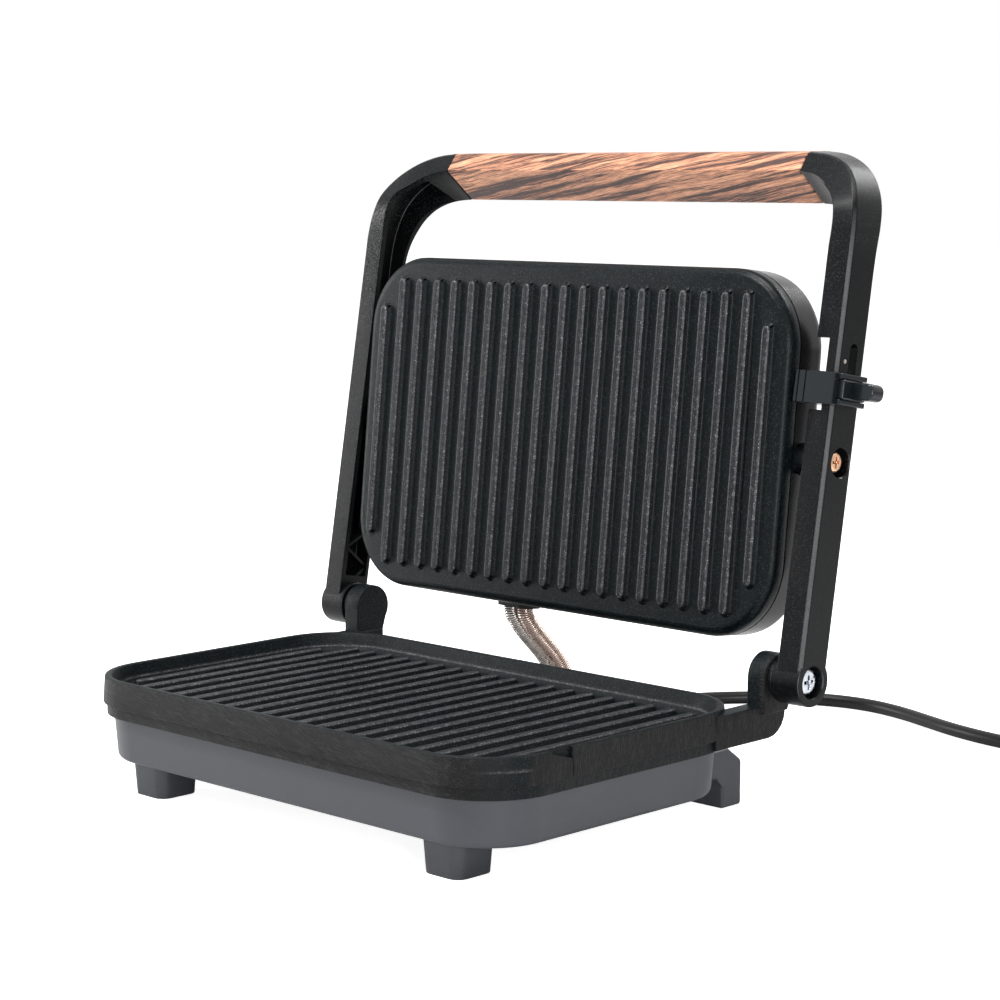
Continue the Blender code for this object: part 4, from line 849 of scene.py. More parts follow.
def lathe(name, profile, place, steps=32):
    """A closed ring of (radius, height) points spun about Z, put at place."""
    mesh = bpy.data.meshes.new(name)
    count = len(profile)
    closed = profile[0][0] > 0 and profile[-1][0] > 0
    edges = [(index, index + 1) for index in range(count - 1)]
    if closed:
        edges.append((count - 1, 0))
    mesh.from_pydata([(radius, 0.0, height) for radius, height in profile], edges, [])
    obj = new_object(name, mesh)
    edit_all(obj)
    bpy.ops.mesh.spin(steps=steps, angle=2 * math.pi, center=(0, 0, 0), axis=(0, 0, 1))
    bpy.ops.mesh.select_all(action="SELECT")
    bpy.ops.mesh.remove_doubles(threshold=MERGE_DISTANCE)
    bpy.ops.mesh.normals_make_consistent(inside=False)
    done()
    return put(obj, place)


# ---------- cooking plates


def rib_row(name, half_length, short_half, base):
    """One cast rib with round ends and a narrow crest, copied across the plate."""
    first = block(name, (-RIB_HALF_WIDTH, -half_length, -0.0006), (RIB_HALF_WIDTH, half_length, RIB_HEIGHT))
    edit(first)
    round_picked(first, RIB_HALF_WIDTH * 0.90, 6, along(2))
    pick_faces(first, lambda middle, normal: normal.z > 0.9)
    bpy.ops.transform.resize(value=(0.56, 1 - 0.0013 / half_length, 1.0))
    round_picked(first, 0.0008, 3, lambda a, b: min(a.z, b.z) > RIB_HEIGHT - 0.0001)
    done()
    copies = []
    for index in range(RIB_COUNT):
        copy = first.copy()
        copy.data = first.data.copy()
        bpy.context.scene.collection.objects.link(copy)
        if index in (0, RIB_COUNT - 1):
            for vertex in copy.data.vertices:
                vertex.co.y -= math.copysign(half_length - short_half, vertex.co.y)
        middle = (index - (RIB_COUNT - 1) / 2) * RIB_PITCH
        copy.data.transform(shift(middle, 0, base))
        copies.append(copy)
    bpy.data.objects.remove(first, do_unlink=True)
    return merge(*copies)


def fillet_ribs(obj, height, half_y):
    """Rounds the foot of each rib into the plate."""
    at_foot = at_height(height, 2e-6)
    return round_edges(obj, 0.0006, 2, lambda a, b: at_foot(a, b)
                       and max(abs(a.y), abs(b.y)) < half_y - 0.0060
                       and max(abs(a.x), abs(b.x)) < 0.1095)


def divide_at_ribs(body):
    """Edge lines through the casting between the ribs, so that no flat face surrounds more than one rib."""
    edit(body)
    for index in range(RIB_COUNT + 1):
        bpy.ops.mesh.select_all(action="SELECT")
        middle = (index - RIB_COUNT / 2) * RIB_PITCH
        bpy.ops.mesh.bisect(plane_co=(middle, 0, 0), plane_no=(1, 0, 0))
    done()


def rounded_slab(name, half, corner, low, high, steps=14):
    slab = block(name, (-half[0], -half[1], low), (half[0], half[1], high))
    return round_edges(slab, corner, steps, lambda a, b: abs(a.z - b.z) > 1e-5)


def tray():
    """The lower casting: wall, rim, ribbed floor, lip, posts, and two rear arms with their hinge ears."""
    half_x, half_y = TRAY_HALF
    body = rounded_slab("lower_cooking_plate", TRAY_HALF, TRAY_CORNER, WALL_BOTTOM_Z, RIM_Z)
    edit(body)
    pick_faces(body, lambda middle, normal: normal.z < -0.9)
    bpy.ops.transform.resize(value=(1 + 0.0006 / half_x, 1 + 0.0006 / half_y, 1.0))
    bpy.ops.mesh.inset(thickness=0.0015, depth=0)
    bpy.ops.mesh.extrude_region_move(TRANSFORM_OT_translate={"value": (0, 0, SEAM_Z - WALL_BOTTOM_Z)})
    bpy.ops.mesh.inset(thickness=0.0040, depth=0)
    bpy.ops.mesh.extrude_region_move(TRANSFORM_OT_translate={"value": (0, 0, 0.0043)})
    pick_faces(body, lambda middle, normal: normal.z > 0.9 and middle.z > RIM_Z - 0.0001)
    bpy.ops.mesh.inset(thickness=0.0025, depth=0)
    bpy.ops.mesh.extrude_region_move(TRANSFORM_OT_translate={"value": (0, 0, TRAY_FLOOR_Z - RIM_Z)})
    bpy.ops.transform.resize(value=(1 - 0.0025 / half_x, 1 - 0.0025 / half_y, 1.0))
    round_picked(body, 0.0007, 3, lambda a, b: min(a.z, b.z) > RIM_Z - 0.0001)
    round_picked(body, 0.0024, 5, at_height(TRAY_FLOOR_Z))
    on_wall_bottom = at_height(WALL_BOTTOM_Z)
    round_picked(body, 0.0005, 2, lambda a, b: on_wall_bottom(a, b)
                 and Vector((a.x / half_x, a.y / half_y)).length > 0.9
                 and (abs(a.x) > half_x - 0.0002 or abs(a.y) > half_y - 0.0002
                      or corner_distance(a) > TRAY_CORNER - 0.0002))
    done()
    ribs = rib_row("ribs", half_y - 0.0095, half_y - 0.0215, TRAY_FLOOR_Z)
    divide_at_ribs(body)
    combine(body, ribs)
    fillet_ribs(body, TRAY_FLOOR_Z, half_y)
    for sign in (-1, 1):
        combine(body, rear_arm(sign))
    for x, y in POST_PLACES:
        combine(body, screw_post(x, y))
    # a fine parting line below the nick in the rim
    groove = block("groove", (half_x - 0.0002, -0.0303, 0.0372), (half_x + 0.0020, -0.0299, 0.0460))
    cut(body, groove)
    notch = block("notch", (half_x - 0.0014, -0.0406, 0.0455), (half_x + 0.0020, -0.0300, 0.0490))
    for vertex in notch.data.vertices:
        if vertex.co.z < 0.047:
            vertex.co.z = 0.0464 if vertex.co.y < -0.035 else 0.0434
    cut(body, notch)
    body.data.transform(Matrix.Translation(OFFSET))
    return smooth_casting(body)


def corner_distance(point):
    """How far a point is from the middle of its corner's arc."""
    dx = abs(point.x) - (TRAY_HALF[0] - TRAY_CORNER)
    dy = abs(point.y) - (TRAY_HALF[1] - TRAY_CORNER)
    return math.hypot(max(dx, 0), max(dy, 0))


def screw_post(x, y):
    """A hollow post under the tray for one of the base screws."""
    low = HOUSING_BOTTOM_Z + HOUSING_WALL + GAP
    post = drum("screw_post", 0.0045, TRAY_FLOOR_Z - 0.0010 - low,
                shift(x, y, (TRAY_FLOOR_Z - 0.0010 + low) / 2), 32)
    soften(post, 0.0004, 2, 40)
    bore = drum("post_bore", SCREW_HOLE_RADIUS, 0.0200, shift(x, y, low + 0.0090), 24)
    return cut(post, bore)


def rear_arm(sign):
    """The casting's arm behind the tray with its round hinge ear, bored for the hinge screw."""
    low_x, high_x = on_side(sign, 0.1080, 0.1159)
    arm = block("rear_arm", (low_x, 0.0480, 0.0327), (high_x, 0.0892, 0.0457))
    edit(arm)
    round_picked(arm, 0.0100, 5, lambda a, b: min(a.y, b.y) > 0.08 and max(a.z, b.z) < 0.04)
    bpy.ops.mesh.select_all(action="SELECT")
    bpy.ops.mesh.bisect(plane_co=(0, 0.0612, 0), plane_no=(0, 1, 0))
    done()
    for vertex in arm.data.vertices:
        if vertex.co.y < 0.0500 and abs(vertex.co.x) < 0.1090:
            vertex.co.x = sign * 0.1138
    soften(arm, 0.0007, 2, 40)
    low_x, high_x = on_side(sign, *EAR_X)
    ear = drum_across("ear", EAR_RADIUS, (low_x, high_x), HINGE, 64)
    soften(ear, 0.0007, 3, 40)
    web = block("web", (low_x, HINGE[0] - EAR_RADIUS, 0.0425), (high_x, HINGE[0] + EAR_RADIUS, HINGE[1]))
    for vertex in web.data.vertices:
        if vertex.co.z < 0.045 and vertex.co.y > HINGE[0]:
            vertex.co.y = HINGE[0] + 0.0052
    soften(web, 0.0006, 2, 40)
    combine(ear, web)
    combine(arm, ear)
    bore = drum_across("bore", 0.0030, on_side(sign, 0.1100, 0.1220), HINGE, 32)
    return cut(arm, bore)


def upper_cooking_plate():
    """The upper casting: a slab with a rounded face edge, its ribs, a hollow back and two pivot lugs."""
    body = rounded_slab("upper_cooking_plate", PLATE_HALF, PLATE_CORNER, -PLATE_BAND, 0.0)
    edit(body)
    pick_faces(body, lambda middle, normal: normal.z < -0.9)
    bpy.ops.mesh.inset(thickness=0.0045, depth=0)
    bpy.ops.mesh.extrude_region_move(TRANSFORM_OT_translate={"value": (0, 0, PLATE_BAND - 0.0035)})
    round_picked(body, 0.0034, 6, lambda a, b: min(a.z, b.z) > -0.00001)
    round_picked(body, 0.0005, 2, lambda a, b: max(a.z, b.z) < -PLATE_BAND + 0.00001)
    done()
    ribs = rib_row("ribs", PLATE_HALF[1] - 0.0085, PLATE_HALF[1] - 0.0205, 0.0)
    divide_at_ribs(body)
    combine(body, ribs)
    fillet_ribs(body, 0.0, PLATE_HALF[1])
    for sign in (-1, 1):
        low_x, high_x = on_side(sign, 0.1010, 0.1120)
        lug = block("lug", (low_x, -0.0070, -PIVOT_SETBACK - 0.0032), (high_x, 0.0070, -0.0025))
        bore = drum_across("lug_bore", 0.0027, on_side(sign, 0.1000, 0.1130), (0, -PIVOT_SETBACK))
        combine(body, cut(soften(lug, 0.0006, 2, 40), bore))
    turned = shift(0, -PIVOT_SETBACK, 0) @ Matrix.Rotation(math.pi / 2, 4, "X")
    body.data.transform(PLATE_PLACE @ turned)
    return smooth_casting(body)


def domed_shell(name, wall):
    """The cover's outer skin, or its inner one where a wall is given, with its open side downwards."""
    face = -PIVOT_SETBACK
    half = (PLATE_HALF[0] - wall, PLATE_HALF[1] - wall)
    start = face + PLATE_BAND + GAP - (0.0010 if wall else 0.0)
    bend = face + COVER_DEPTH - wall * 0.4
    back = face + COVER_DEPTH + COVER_DOME - wall
    shell = rounded_slab(name, half, PLATE_CORNER - wall, start, bend)
    edit(shell)
    inset = 0.0
    height = bend
    steps = 7
    for step in range(1, steps + 1):
        turn = math.pi / 2 * step / steps
        next_inset = 0.0150 * (1 - math.cos(turn)) ** 1.15
        next_height = bend + (back - bend) * math.sin(turn)
        pick_faces(shell, lambda middle, normal: normal.z > 0.9 and middle.z > height - 0.00001)
        bpy.ops.mesh.extrude_region_move(TRANSFORM_OT_translate={"value": (0, 0, next_height - height)})
        bpy.ops.transform.resize(value=((half[0] - next_inset) / (half[0] - inset),
                                        (half[1] - next_inset) / (half[1] - inset), 1.0))
        inset = next_inset
        height = next_height
    done()
    return shell


def upper_cover():
    """The domed moulding behind the upper plate, with its pivot holes, screw wells and conduit opening."""
    cover = domed_shell("upper_cover_moulding", 0.0)
    cut(cover, domed_shell("inside", COVER_WALL))
    for sign in (-1, 1):
        ends = on_side(sign, PLATE_HALF[0] - 0.0060, PLATE_HALF[0] + 0.0020)
        cut(cover, drum_across("pivot_hole", 0.0062, ends, (0, 0)))
    for number in range(1, 5):
        low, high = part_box(f"cover_screw_{number}")
        middle = PLATE_PLACE.inverted() @ ((low + high) / 2)
        cut(cover, drum("screw_hole", SCREW_HOLE_RADIUS, 0.0500, shift(middle.x, -middle.z, 0.02), 24))
    x, setback = COVER_CONDUIT
    cut_opening(cover, (x - 0.0087, PLATE_HALF[1] - 0.0060, setback - 0.0047),
                (x + 0.0087, PLATE_HALF[1] + 0.0050, setback + 0.0047), 0.0045, 6, axis=1)
    cover.data.transform(PLATE_PLACE @ Matrix.Rotation(-math.pi / 2, 4, "X"))
    return smooth(cover, 30)


def base_housing():
    """The moulded tray under the casting: rounded lower edge, vents, screw holes and two rear openings."""
    setback = 0.0035
    top_half = (TRAY_HALF[0] - setback, TRAY_HALF[1] - setback)
    corner = TRAY_CORNER - setback
    housing = rounded_slab("base_housing_moulding", top_half, corner, HOUSING_BOTTOM_Z, SEAM_Z - GAP)
    inside = rounded_slab("inside", (top_half[0] - HOUSING_WALL, top_half[1] - HOUSING_WALL),
                          corner - HOUSING_WALL, HOUSING_BOTTOM_Z + HOUSING_WALL, SEAM_Z + 0.001)
    for shape, width in ((housing, 0.0024), (inside, 0.0012)):
        edit(shape)
        pick_faces(shape, lambda middle, normal: normal.z < -0.9)
        bpy.ops.transform.resize(value=(1 - 0.0011 / top_half[0], 1 - 0.0011 / top_half[1], 1.0))
        floor = min(vertex.co.z for vertex in bmesh.from_edit_mesh(shape.data).verts)
        round_picked(shape, width, 5, lambda a, b: max(a.z, b.z) < floor + 0.00001)
        done()
    cut(housing, inside)
    round_edges(housing, 0.0004, 2, lambda a, b: min(a.z, b.z) > SEAM_Z - GAP - 0.00001)
    for x, y in POST_PLACES:
        cut(housing, drum("screw_hole", SCREW_HOLE_RADIUS, 0.006, shift(x, y, HOUSING_BOTTOM_Z), 24))
    for number in range(6):
        x = -0.0300 + 0.0120 * number
        cut_opening(housing, (x - 0.0015, -0.0180, HOUSING_BOTTOM_Z - 0.001),
                    (x + 0.0015, 0.0180, HOUSING_BOTTOM_Z + 0.004), 0.0014, 4, axis=2)
    x, y, z = CORD_ROUTE[0]
    through_wall = shift(x, y + 0.0020, z) @ Matrix.Rotation(math.pi / 2, 4, "X")
    cut(housing, drum("lead_hole", 0.0052, 0.0140, through_wall, 40))
    x, y, z = CONDUIT_ROUTE[-1]
    cut_opening(housing, (x - 0.0090, y - 0.0010, z - 0.0052), (x + 0.0090, y + 0.0110, z + 0.0052),
                0.0050, 6, axis=1)
    housing.data.transform(Matrix.Translation(OFFSET))
    return smooth(housing, 30)


# ---------- handle frame


def bend_outlines():
    """The arm's outlines in metres, with more of them round the bend so that it runs smoothly."""
    rings = [[Vector(corner) / 1000 for corner in section] for section in ARM_SECTIONS]
    middles = [sum(ring, Vector()) / len(ring) for ring in rings]
    gaps = [(b - a).length for a, b in zip(middles, middles[1:])]
    steepness = []
    for index, ring in enumerate(rings):
        rows = []
        for corner, place in enumerate(ring):
            before = (place - rings[index - 1][corner]) / gaps[index - 1] if index else None
            after = (rings[index + 1][corner] - place) / gaps[index] if index < len(rings) - 1 else None
            if before is None or index == len(rings) - 1:
                rows.append(after if before is None else before)
            elif index == 1:
                rows.append(before)
            else:
                both = before * gaps[index] + after * gaps[index - 1]
                rows.append(both / (gaps[index] + gaps[index - 1]))
        steepness.append(rows)
    found = [rings[0]]
    for index in range(1, len(rings) - 1):
        gap = gaps[index]
        for step in range(BEND_STEPS):
            t = step / BEND_STEPS
            weights = (2 * t**3 - 3 * t**2 + 1, t**3 - 2 * t**2 + t, 3 * t**2 - 2 * t**3, t**3 - t**2)
            found.append([
                rings[index][k] * weights[0] + steepness[index][k] * gap * weights[1]
                + rings[index + 1][k] * weights[2] + steepness[index + 1][k] * gap * weights[3]
                for k in range(7)
            ])
    found.append(rings[-1])
    return found


def channel_outline(ring):
    """The open channel inside an arm outline, as four corners."""
    inner_front = ring[0]
    outer_front = (ring[1] + ring[2]) / 2
    outer_back = (ring[3] + ring[4]) / 2
    inner_back = (ring[5] + ring[6]) / 2
    floor = 1 - ARM_WEB / (ARM_X[1] - ARM_X[0])
    front = ARM_FLANGE / (ARM_V[1] - ARM_V[0])
    corners = []
    for across, back in ((-0.25, front), (floor, front), (floor, 1 - front), (-0.25, 1 - front)):
        near = inner_front.lerp(outer_front, across)
        corners.append(near.lerp(inner_back.lerp(outer_back, across), back))
    return corners


def screw_recess(sign, radius, seat, centre):
    """A round well for a screw head, with a small chamfer at its mouth."""
    face = ARM_X[1]
    profile = [(0, seat), (radius, seat), (radius, face - 0.0004), (radius + 0.0005, face + 0.0001),
               (radius + 0.0005, face + 0.0020), (0, face + 0.0020)]
    turn = Matrix.Rotation(sign * math.pi / 2, 4, "Y")
    return lathe("recess", profile, shift(0, *centre) @ turn, 48)


def cross_rib(sign, start, end):
    """One thin diagonal rib inside the channel, between two (v, u) points."""
    run = Vector((0, end[0] - start[0], end[1] - start[1]))
    low_x, high_x = on_side(sign, ARM_X[0] + 0.0012, ARM_X[1] - ARM_WEB + 0.0005)
    rib = block("cross_rib", (low_x, -0.0006, -run.length / 2), (high_x, 0.0006, run.length / 2))
    middle = Vector((0, (start[0] + end[0]) / 2, (start[1] + end[1]) / 2))
    angle = math.atan2(-run.y, run.z)
    rib.data.transform(Matrix.Translation(middle) @ Matrix.Rotation(angle, 4, "X"))
    return rib


def handle_arm(side, sign):
    """A die-cast channel arm that bends forwards into the grip, bored for its two screws."""
    rings = [[Vector((sign * corner.x, corner.y, corner.z)) for corner in ring] for ring in bend_outlines()]
    arm = soften(loft(f"{side}_handle_arm", rings), 0.0004, 2, 25)
    last = 1 + (CHANNEL_LAST - 1) * BEND_STEPS
    hollow_rings = [channel_outline(ring) for ring in rings[1:last + 1]]
    start = [Vector((corner.x, corner.y, 0.0120)) for corner in channel_outline(rings[0])]
    cut(arm, soften(loft("channel", [start] + hollow_rings), 0.0006, 3, 50))
    inner = EAR_X[1] + 2 * GAP + 0.0017
    boss = drum_across("hinge_boss", EAR_RADIUS, on_side(sign, inner, ARM_X[1]), (0, 0), 64)
    combine(arm, soften(boss, 0.0007, 3, 40))
    zigzag = ((-0.0020, 0.0088), (0.0062, 0.0165), (-0.0066, 0.0243), (0.0062, 0.0330))
    for first, second in zip(zigzag, zigzag[1:]):
        combine(arm, cross_rib(sign, first, second))
    pivot = (PIVOT_BACK, PIVOT_UP_ARM)
    ends = on_side(sign, inner + 0.0003, ARM_X[1] - 0.0010)
    combine(arm, drum_across("pivot_boss", 0.0065, ends, pivot))
    for head, shank, centre in ((0.0061, 0.0030, (0, 0)), (0.0055, 0.0027, pivot)):
        cut(arm, screw_recess(sign, head, ARM_X[1] - 0.0049, centre))
        cut(arm, drum_across("bore", shank, on_side(sign, inner - 0.002, ARM_X[1] + 0.001), centre, 32))
    ends = on_side(sign, GRIP_HALF - 0.001, GRIP_HALF + 0.0096)
    cut(arm, drum_across("core_hole", CORE_HOLE_RADIUS, ends, GRIP_CORE, 32))
    if sign > 0:
        open_for_latch(arm)
    return smooth(put(arm, ARM_PLACE), 28)


def open_for_latch(arm):
    """The notch in the right arm's front flange, the slot in its web and the detent pin's hole."""
    notch = block("notch", (ARM_X[0] - 0.0020, ARM_V[0] - 0.0010, 0.1015), (0.1278, -0.0050, 0.1286))
    cut(arm, notch)
    cut_opening(arm, (ARM_X[1] - ARM_WEB - 0.0010, -0.0021, 0.1063), (ARM_X[1] + 0.0010, 0.0027, 0.1275),
                0.00238, 8, axis=0)
    cut(arm, drum_across("pin_hole", 0.0012, (0.1306, 0.1339), (-0.0042, 0.1204), 24))


def latch_slider():
    """The storage latch: a grooved block behind the plate's edge, a bridge, two rails and a finger bar."""
    low = LATCH_UP_ARM - 0.0061
    high = LATCH_UP_ARM + 0.0061
    slider = soften(block("storage_latch", (0.1165, -0.0122, low), (0.1275, 0.0030, high)), 0.0005, 3, 40)
    cut(slider, block("step", (0.1155, -0.0040, low - 0.001), (0.1195, 0.0050, high + 0.001)))
    for x in (0.1180, 0.1212):
        groove = block("groove", (x, -0.0130, low - 0.001), (x + 0.0006, -0.0117, high + 0.001))
        cut(slider, groove)
    middle = LATCH_UP_ARM
    for name, start, end, width, segments in (
        ("bridge", (0.1248, -0.0122, low), (0.1347, -0.0090, high), 0.0004, 2),
        ("outer_plate", (0.1332, -0.0118, low + 0.0004), (0.1347, 0.0060, high - 0.0004), 0.0003, 2),
        ("lower_rail", (0.1335, -0.0100, low + 0.0002), (0.1368, 0.0058, low + 0.0023), 0.0004, 2),
        ("upper_rail", (0.1335, -0.0100, high - 0.0022), (0.1368, 0.0058, high - 0.0001), 0.0004, 2),
        ("bar_root", (0.1340, -0.0094, middle - 0.0037), (0.1374, 0.0050, middle + 0.0037), 0.0007, 3),
    ):
        combine(slider, soften(block(name, start, end), width, segments, 40))
    bar = block("finger_bar", (0.1340, -0.0034, middle - 0.0033), (0.1463, 0.0041, middle + 0.0033))
    round_edges(bar, 0.0028, 6, lambda a, b: min(a.x, b.x) > 0.146 and abs(a.y - b.y) > 0.001)
    combine(slider, soften(bar, 0.0008, 3, 40))
    hole = drum_across("stud_hole", 0.0023, (0.1240, 0.1290), (0.0003, middle), 32)
    cut(slider, hole)
    return smooth(put(slider, ARM_PLACE), 30)


def wood_grip():
    """The grip between the arms: seven faces with eased edges, bored for its steel core."""
    outline = [Vector((0, corner[1], corner[2])) / 1000 for corner in ARM_SECTIONS[-1]]
    rings = [[corner + Vector((x, 0, 0)) for corner in outline] for x in (-GRIP_HALF, GRIP_HALF)]
    grip = soften(loft("wood_grip", rings), 0.0007, 3, 12)
    ends = (-GRIP_HALF - 0.001, GRIP_HALF + 0.001)
    cut(grip, drum_across("core_hole", CORE_HOLE_RADIUS, ends, GRIP_CORE, 32))
    wrap_round(grip, outline)
    return smooth(put(grip, ARM_PLACE), 30)


def wrap_round(grip, outline):
    """A UV map in metres: along the grip, and round its outline from the lower back edge."""
    starts = [0.0]
    for a, b in zip(outline, outline[1:] + outline[:1]):
        starts.append(starts[-1] + (b - a).length)
    layer = grip.data.uv_layers.new(name="wrap")
    for face in grip.data.polygons:
        places = []
        for index in face.loop_indices:
            point = grip.data.vertices[grip.data.loops[index].vertex_index].co
            flat = Vector((0, point.y, point.z))
            best = None
            for number, (a, b) in enumerate(zip(outline, outline[1:] + outline[:1])):
                run = b - a
                t = min(1, max(0, (flat - a).dot(run) / run.length_squared))
                gap = (flat - a.lerp(b, t)).length
                if best is None or gap < best[0]:
                    best = (gap, starts[number] + t * run.length)
            places.append((index, point.x, best[1]))
        highest = max(place[2] for place in places)
        for index, along, girth in places:
            if highest - girth > starts[-1] / 2:
                girth += starts[-1]
            layer.data[index].uv = (along, girth)


# ---------- conduits


def conduit_points(offset):
    low = -0.0707
    head = [PLATE_PLACE @ Vector((COVER_CONDUIT[0], COVER_CONDUIT[1], low + height))
            for height in (0.0120, 0.0040, -0.0040)]
    rest = [Vector(point) + OFFSET for point in CONDUIT_ROUTE]
    return smooth_points([point + Vector((offset, 0, 0)) for point in (*head, *rest)], 24)


def flexible_conduit(name, offset, top):
    """A strip-wound metal conduit, above or below its join: rings of metal along its middle line."""
    fine = conduit_points(offset)
    pitch = 0.00085
    stations = []
    walked = 0.0
    wanted = 0.0
    step = pitch / 4
    for a, b in zip(fine, fine[1:]):
        part = (b - a).length
        while wanted <= walked + part:
            t = (wanted - walked) / part
            stations.append((a.lerp(b, t), (b - a).normalized()))
            wanted += step
        walked += part
    shape = bmesh.new()
    groove = shape.verts.layers.float.new("groove")
    rows = []
    side = Vector((1, 0, 0))
    sides = 18
    last_above = max(number for number, (place, along) in enumerate(stations) if place.z > CONDUIT_JOIN_Z)
    for number, (place, along) in enumerate(stations):
        side = (side - along * side.dot(along)).normalized()
        if (number > last_above) if top else (number < last_above):
            continue
        other = along.cross(side)
        phase = number % 4
        radius = CONDUIT_RADIUS - (0.00030, 0.00008, 0.0, 0.00006)[phase]
        rows.append([
            shape.verts.new(place + (side * math.cos(2 * math.pi * k / sides)
                                     + other * math.sin(2 * math.pi * k / sides)) * radius)
            for k in range(sides)
        ])
        for vertex in rows[-1]:
            vertex[groove] = 1.0 if phase == 0 else 0.0
    for lower, upper in zip(rows, rows[1:]):
        for k in range(sides):
            after = (k + 1) % sides
            shape.faces.new((lower[k], lower[after], upper[after], upper[k]))
    shape.faces.new(list(reversed(rows[0])))
    shape.faces.new(rows[-1])
    bmesh.ops.recalc_face_normals(shape, faces=shape.faces)
    mesh = bpy.data.meshes.new(name)
    shape.to_mesh(mesh)
    shape.free()
    return smooth(new_object(name, mesh), 60)


# ---------- stage and light

FLOOR_GLOW = 0.90


def add_stage():
    clear_selection()
    bpy.ops.mesh.primitive_plane_add(size=12.0, location=(0, 0, 0))
    floor = bpy.context.object
    floor.name = "floor"
    material = bpy.data.materials.new("white_floor")
    material.use_nodes = True
    tree = material.node_tree
    shader = tree.nodes["Principled BSDF"]
    shader.inputs["Base Color"].default_value = (0.9, 0.9, 0.9, 1.0)
    shader.inputs["Roughness"].default_value = 0.9
    light_path = tree.nodes.new("ShaderNodeLightPath")
    glow = tree.nodes.new("ShaderNodeEmission")
    glow.inputs["Color"].default_value = (1.0, 1.0, 1.0, 1.0)
    seen = value_node(tree, "MULTIPLY", light_path.outputs["Is Camera Ray"], FLOOR_GLOW)
    tree.links.new(seen, glow.inputs["Strength"])
    both = tree.nodes.new("ShaderNodeAddShader")
    tree.links.new(shader.outputs["BSDF"], both.inputs[0])
    tree.links.new(glow.outputs["Emission"], both.inputs[1])
    tree.links.new(both.outputs["Shader"], tree.nodes["Material Output"].inputs["Surface"])
    floor.data.materials.append(material)


def add_world():
    world = bpy.data.worlds.new("studio")
    bpy.context.scene.world = world
    world.use_nodes = True
    tree = world.node_tree
    tree.nodes.clear()
    leave = tree.nodes.new("ShaderNodeOutputWorld")
    light_path = tree.nodes.new("ShaderNodeLightPath")
    room = tree.nodes.new("ShaderNodeBackground")
    room.inputs["Color"].default_value = (1.0, 1.0, 1.0, 1.0)
    room.inputs["Strength"].default_value = 0.24
    white = tree.nodes.new("ShaderNodeBackground")
    white.inputs["Color"].default_value = (1.0, 1.0, 1.0, 1.0)
    white.inputs["Strength"].default_value = 1.0
    mix = tree.nodes.new("ShaderNodeMixShader")
    seen = value_node(tree, "MAXIMUM", light_path.outputs["Is Camera Ray"],
                      value_node(tree, "MAXIMUM", light_path.outputs["Is Glossy Ray"],
                                 light_path.outputs["Is Transmission Ray"]))
    tree.links.new(seen, mix.inputs[0])
    tree.links.new(room.outputs[0], mix.inputs[1])
    tree.links.new(white.outputs[0], mix.inputs[2])
    tree.links.new(mix.outputs[0], leave.inputs["Surface"])


def add_lamp(name, place, target, size, power):
    """A square softbox or a strip that faces its target; sizes in metres, power in watts."""
    data = bpy.data.lights.new(name, "AREA")
    data.shape = "RECTANGLE"
    data.size = size[0]
    data.size_y = size[1]
    data.energy = power
    lamp = bpy.data.objects.new(name, data)
    bpy.context.scene.collection.objects.link(lamp)
    lamp.location = place
    lamp.rotation_euler = (Vector(target) - Vector(place)).to_track_quat("-Z", "Y").to_euler()


def add_lights():
    add_lamp("key_softbox", (-0.30, -0.80, 1.30), (0, 0, 0.10), (0.30, 0.30), 15.0)
    add_lamp("left_strip", (-1.25, -0.55, 0.34), (0, 0, 0.14), (0.07, 0.70), 7.0)
    add_lamp("back_softbox", (0.20, 1.05, 1.05), (0, 0, 0.06), (0.60, 0.20), 9.0)
    add_lamp("right_strip", (1.30, -0.83, 0.34), (0, 0, 0.14), (0.12, 0.65), 10.0)
    add_lamp("top_softbox", (0.0, -0.12, 1.40), (0, 0.02, 0.15), (0.50, 0.50), 13.0)


# ---------- making


add_camera()
sprayed_coat_group()
brushed_streaks_group()
crest_highlight_and_wear_group()

tray_black = tray_coating()
plate_black = plate_coating("upper_plate_coating", math.pi / 2 - PLATE_TILT, PIVOT, PIVOT_SETBACK)
# the arm paint's last colour is a painted highlight on the chamfers, partly rubbed paint
arm_paint = painted_material(
    "arm_paint", (0.0030, 0.0034, 0.0040), (0.034, 0.036, 0.038), 0.30,
    grain=0.00040, depth=0.00005, gloss=0.14, rub_and_highlight=(0.075, 0.076, 0.080),
)
cover_paint = painted_material(
    "cover_paint", (0.005, 0.005, 0.006), (0.010, 0.010, 0.011), 0.22,
    grain=0.0006, depth=0.000015, gloss=0.40,
)
latch_paint = moulded_material("latch_plastic", (0.0060, 0.0088, 0.0110), 0.18, 0.00001, gloss=0.35)
# painted shade: the washers are drawn near-black for the shaded gaps where they sit
washer_shade = moulded_material("washer_painted_shade", (0.006, 0.006, 0.007), 0.30, 0.00003, gloss=0.25)
housing_grey = moulded_material("housing_plastic", (0.053, 0.055, 0.064), 0.44, gloss=0.3)
foot_grey = moulded_material("foot_plastic_grey", (0.054, 0.056, 0.064), 0.44, gloss=0.3)
wood = wood_material()
zinc = metal_material("zinc_plate", (0.70, 0.74, 0.80), 0.28)
copper = metal_material("copper_plate", (0.85, 0.52, 0.34), 0.30)
nickel = metal_material("nickel_plate", (0.62, 0.58, 0.53), 0.30)
dull_steel = metal_material("dull_steel_bar", (0.42, 0.42, 0.43), 0.46)
ceramic = stained_material(
    "glazed_ceramic", (0.70, 0.68, 0.64), (0.60, 0.58, 0.54), 0.25, 0.45,
    grain=0.0008, metallic=0.0, depth=0.00003,
)
rubber = moulded_material("soft_rubber", (0.010, 0.010, 0.011), 0.50, gloss=0.25)
lead_skin = moulded_material("lead_skin", (0.0055, 0.0055, 0.0060), 0.36, 0.00002, gloss=0.25)

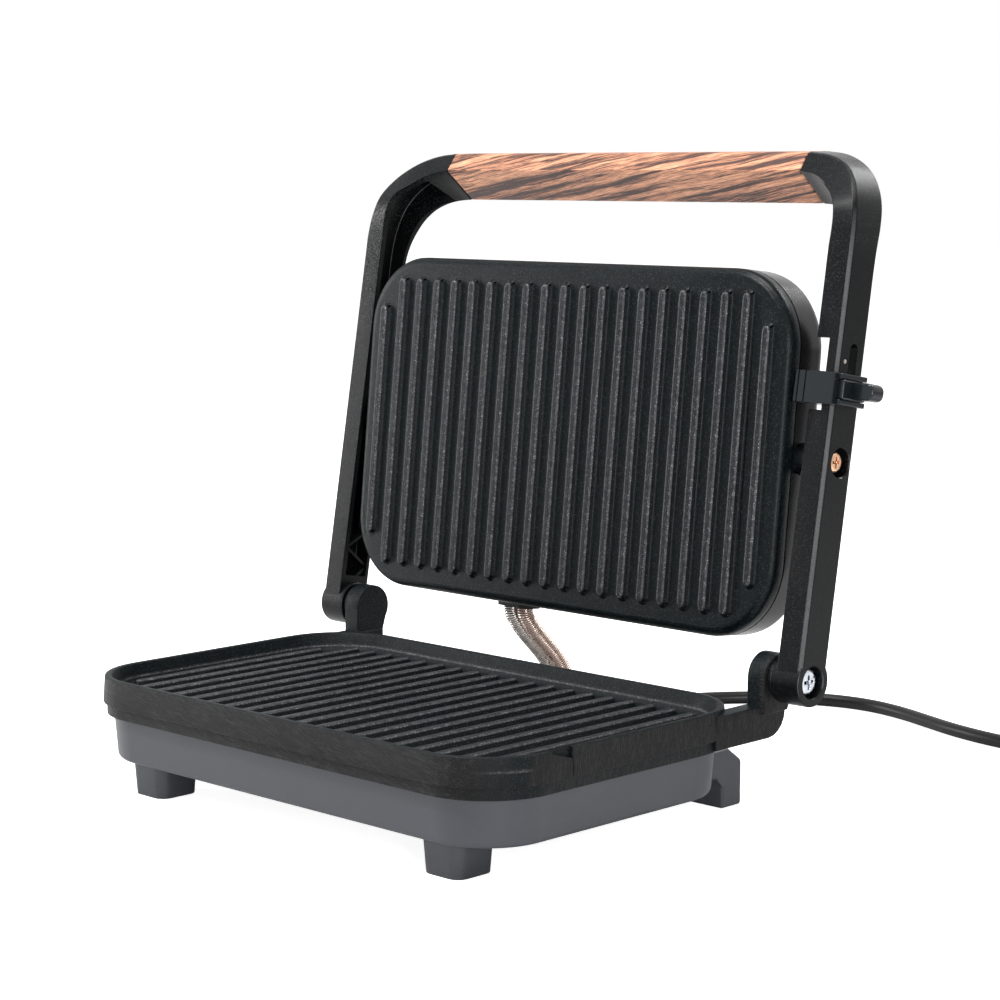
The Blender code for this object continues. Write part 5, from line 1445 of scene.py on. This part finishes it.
lead, on_lead, lead_line = add_lead(lead_skin, rubber, nickel)

finish(tray(), "base", tray_black, ("lower_plate",))
finish(base_housing(), "base", housing_grey, ("base_housing",))
finish(upper_cooking_plate(), "upper_plate_assembly", plate_black, ("upper_plate",))
finish(upper_cover(), "upper_plate_assembly", cover_paint, ("upper_cover",))
for side, sign in (("left", -1), ("right", 1)):
    finish(handle_arm(side, sign), "handle_frame", arm_paint, (f"arm_{side}",))
finish(wood_grip(), "handle_frame", wood, ("handle_grip",))
finish(latch_slider(), "latch", latch_paint, ("latch_slider",))

# each conduit's second colour is painted shade in its grooves
conduit_metals = (
    conduit_material("nickel_conduit", (0.62, 0.58, 0.55), (0.10, 0.09, 0.085)),
    conduit_material("bronze_conduit", (0.60, 0.47, 0.41), (0.09, 0.065, 0.055)),
)
for side, offset, metal in (("left", -0.5, conduit_metals[0]), ("right", 0.5, conduit_metals[1])):
    for part, (first, second, low, high) in CONDUIT_BENDS.items():
        name = f"flexible_conduit_{side}_{part}"
        pipe = flexible_conduit(name, offset * CONDUIT_SPACING, part == "upper")
        pipe.data.materials.append(metal)
        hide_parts(f"conduit_{side}")
        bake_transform(pipe)

# Feet and the screws in view keep their CAD shape, with eased edges
record = frame["record"]
body_of = {name: body for body, names in record["behaviour"]["bodies"].items() for name in names}
slot_of = {row["node"]: row["material_slot"] for row in record["subparts"]}
EASED = {
    "foot_front_left": (foot_grey, 0.0012), "foot_front_right": (foot_grey, 0.0012),
    "foot_rear_left": (foot_grey, 0.0006), "foot_rear_right": (foot_grey, 0.0006),
    "hinge_screw_left": (zinc, 0.0002), "hinge_screw_right": (zinc, 0.0002),
    "pivot_screw_left": (copper, 0.0002), "pivot_screw_right": (copper, 0.0002),
}
for name, (material, width) in EASED.items():
    piece = smooth(soften(copy_of(name, name + "_finished"), width, 3, 32), 32)
    finish(piece, body_of[name], material, (name,))

# The other screws, bushes and inner parts are shown as the CAD has them; the washers are drawn near-black,
# as painted shade in the gaps where they sit
CARRIED = {
    "zinc": zinc, "copper": copper, "nickel": nickel, "steel_dull": dull_steel, "ceramic_white": ceramic,
    "rubber_black": rubber, "latch_black": latch_paint,
}
for name, obj in frame["nodes"].items():
    if obj.hide_render:
        continue
    for place in obj.material_slots:
        place.material = washer_shade if "washer" in name else CARRIED[slot_of[name]]

add_stage()
add_world()
add_lights()
bpy.context.scene.view_settings.view_transform = "Standard"

low, high = cad_box
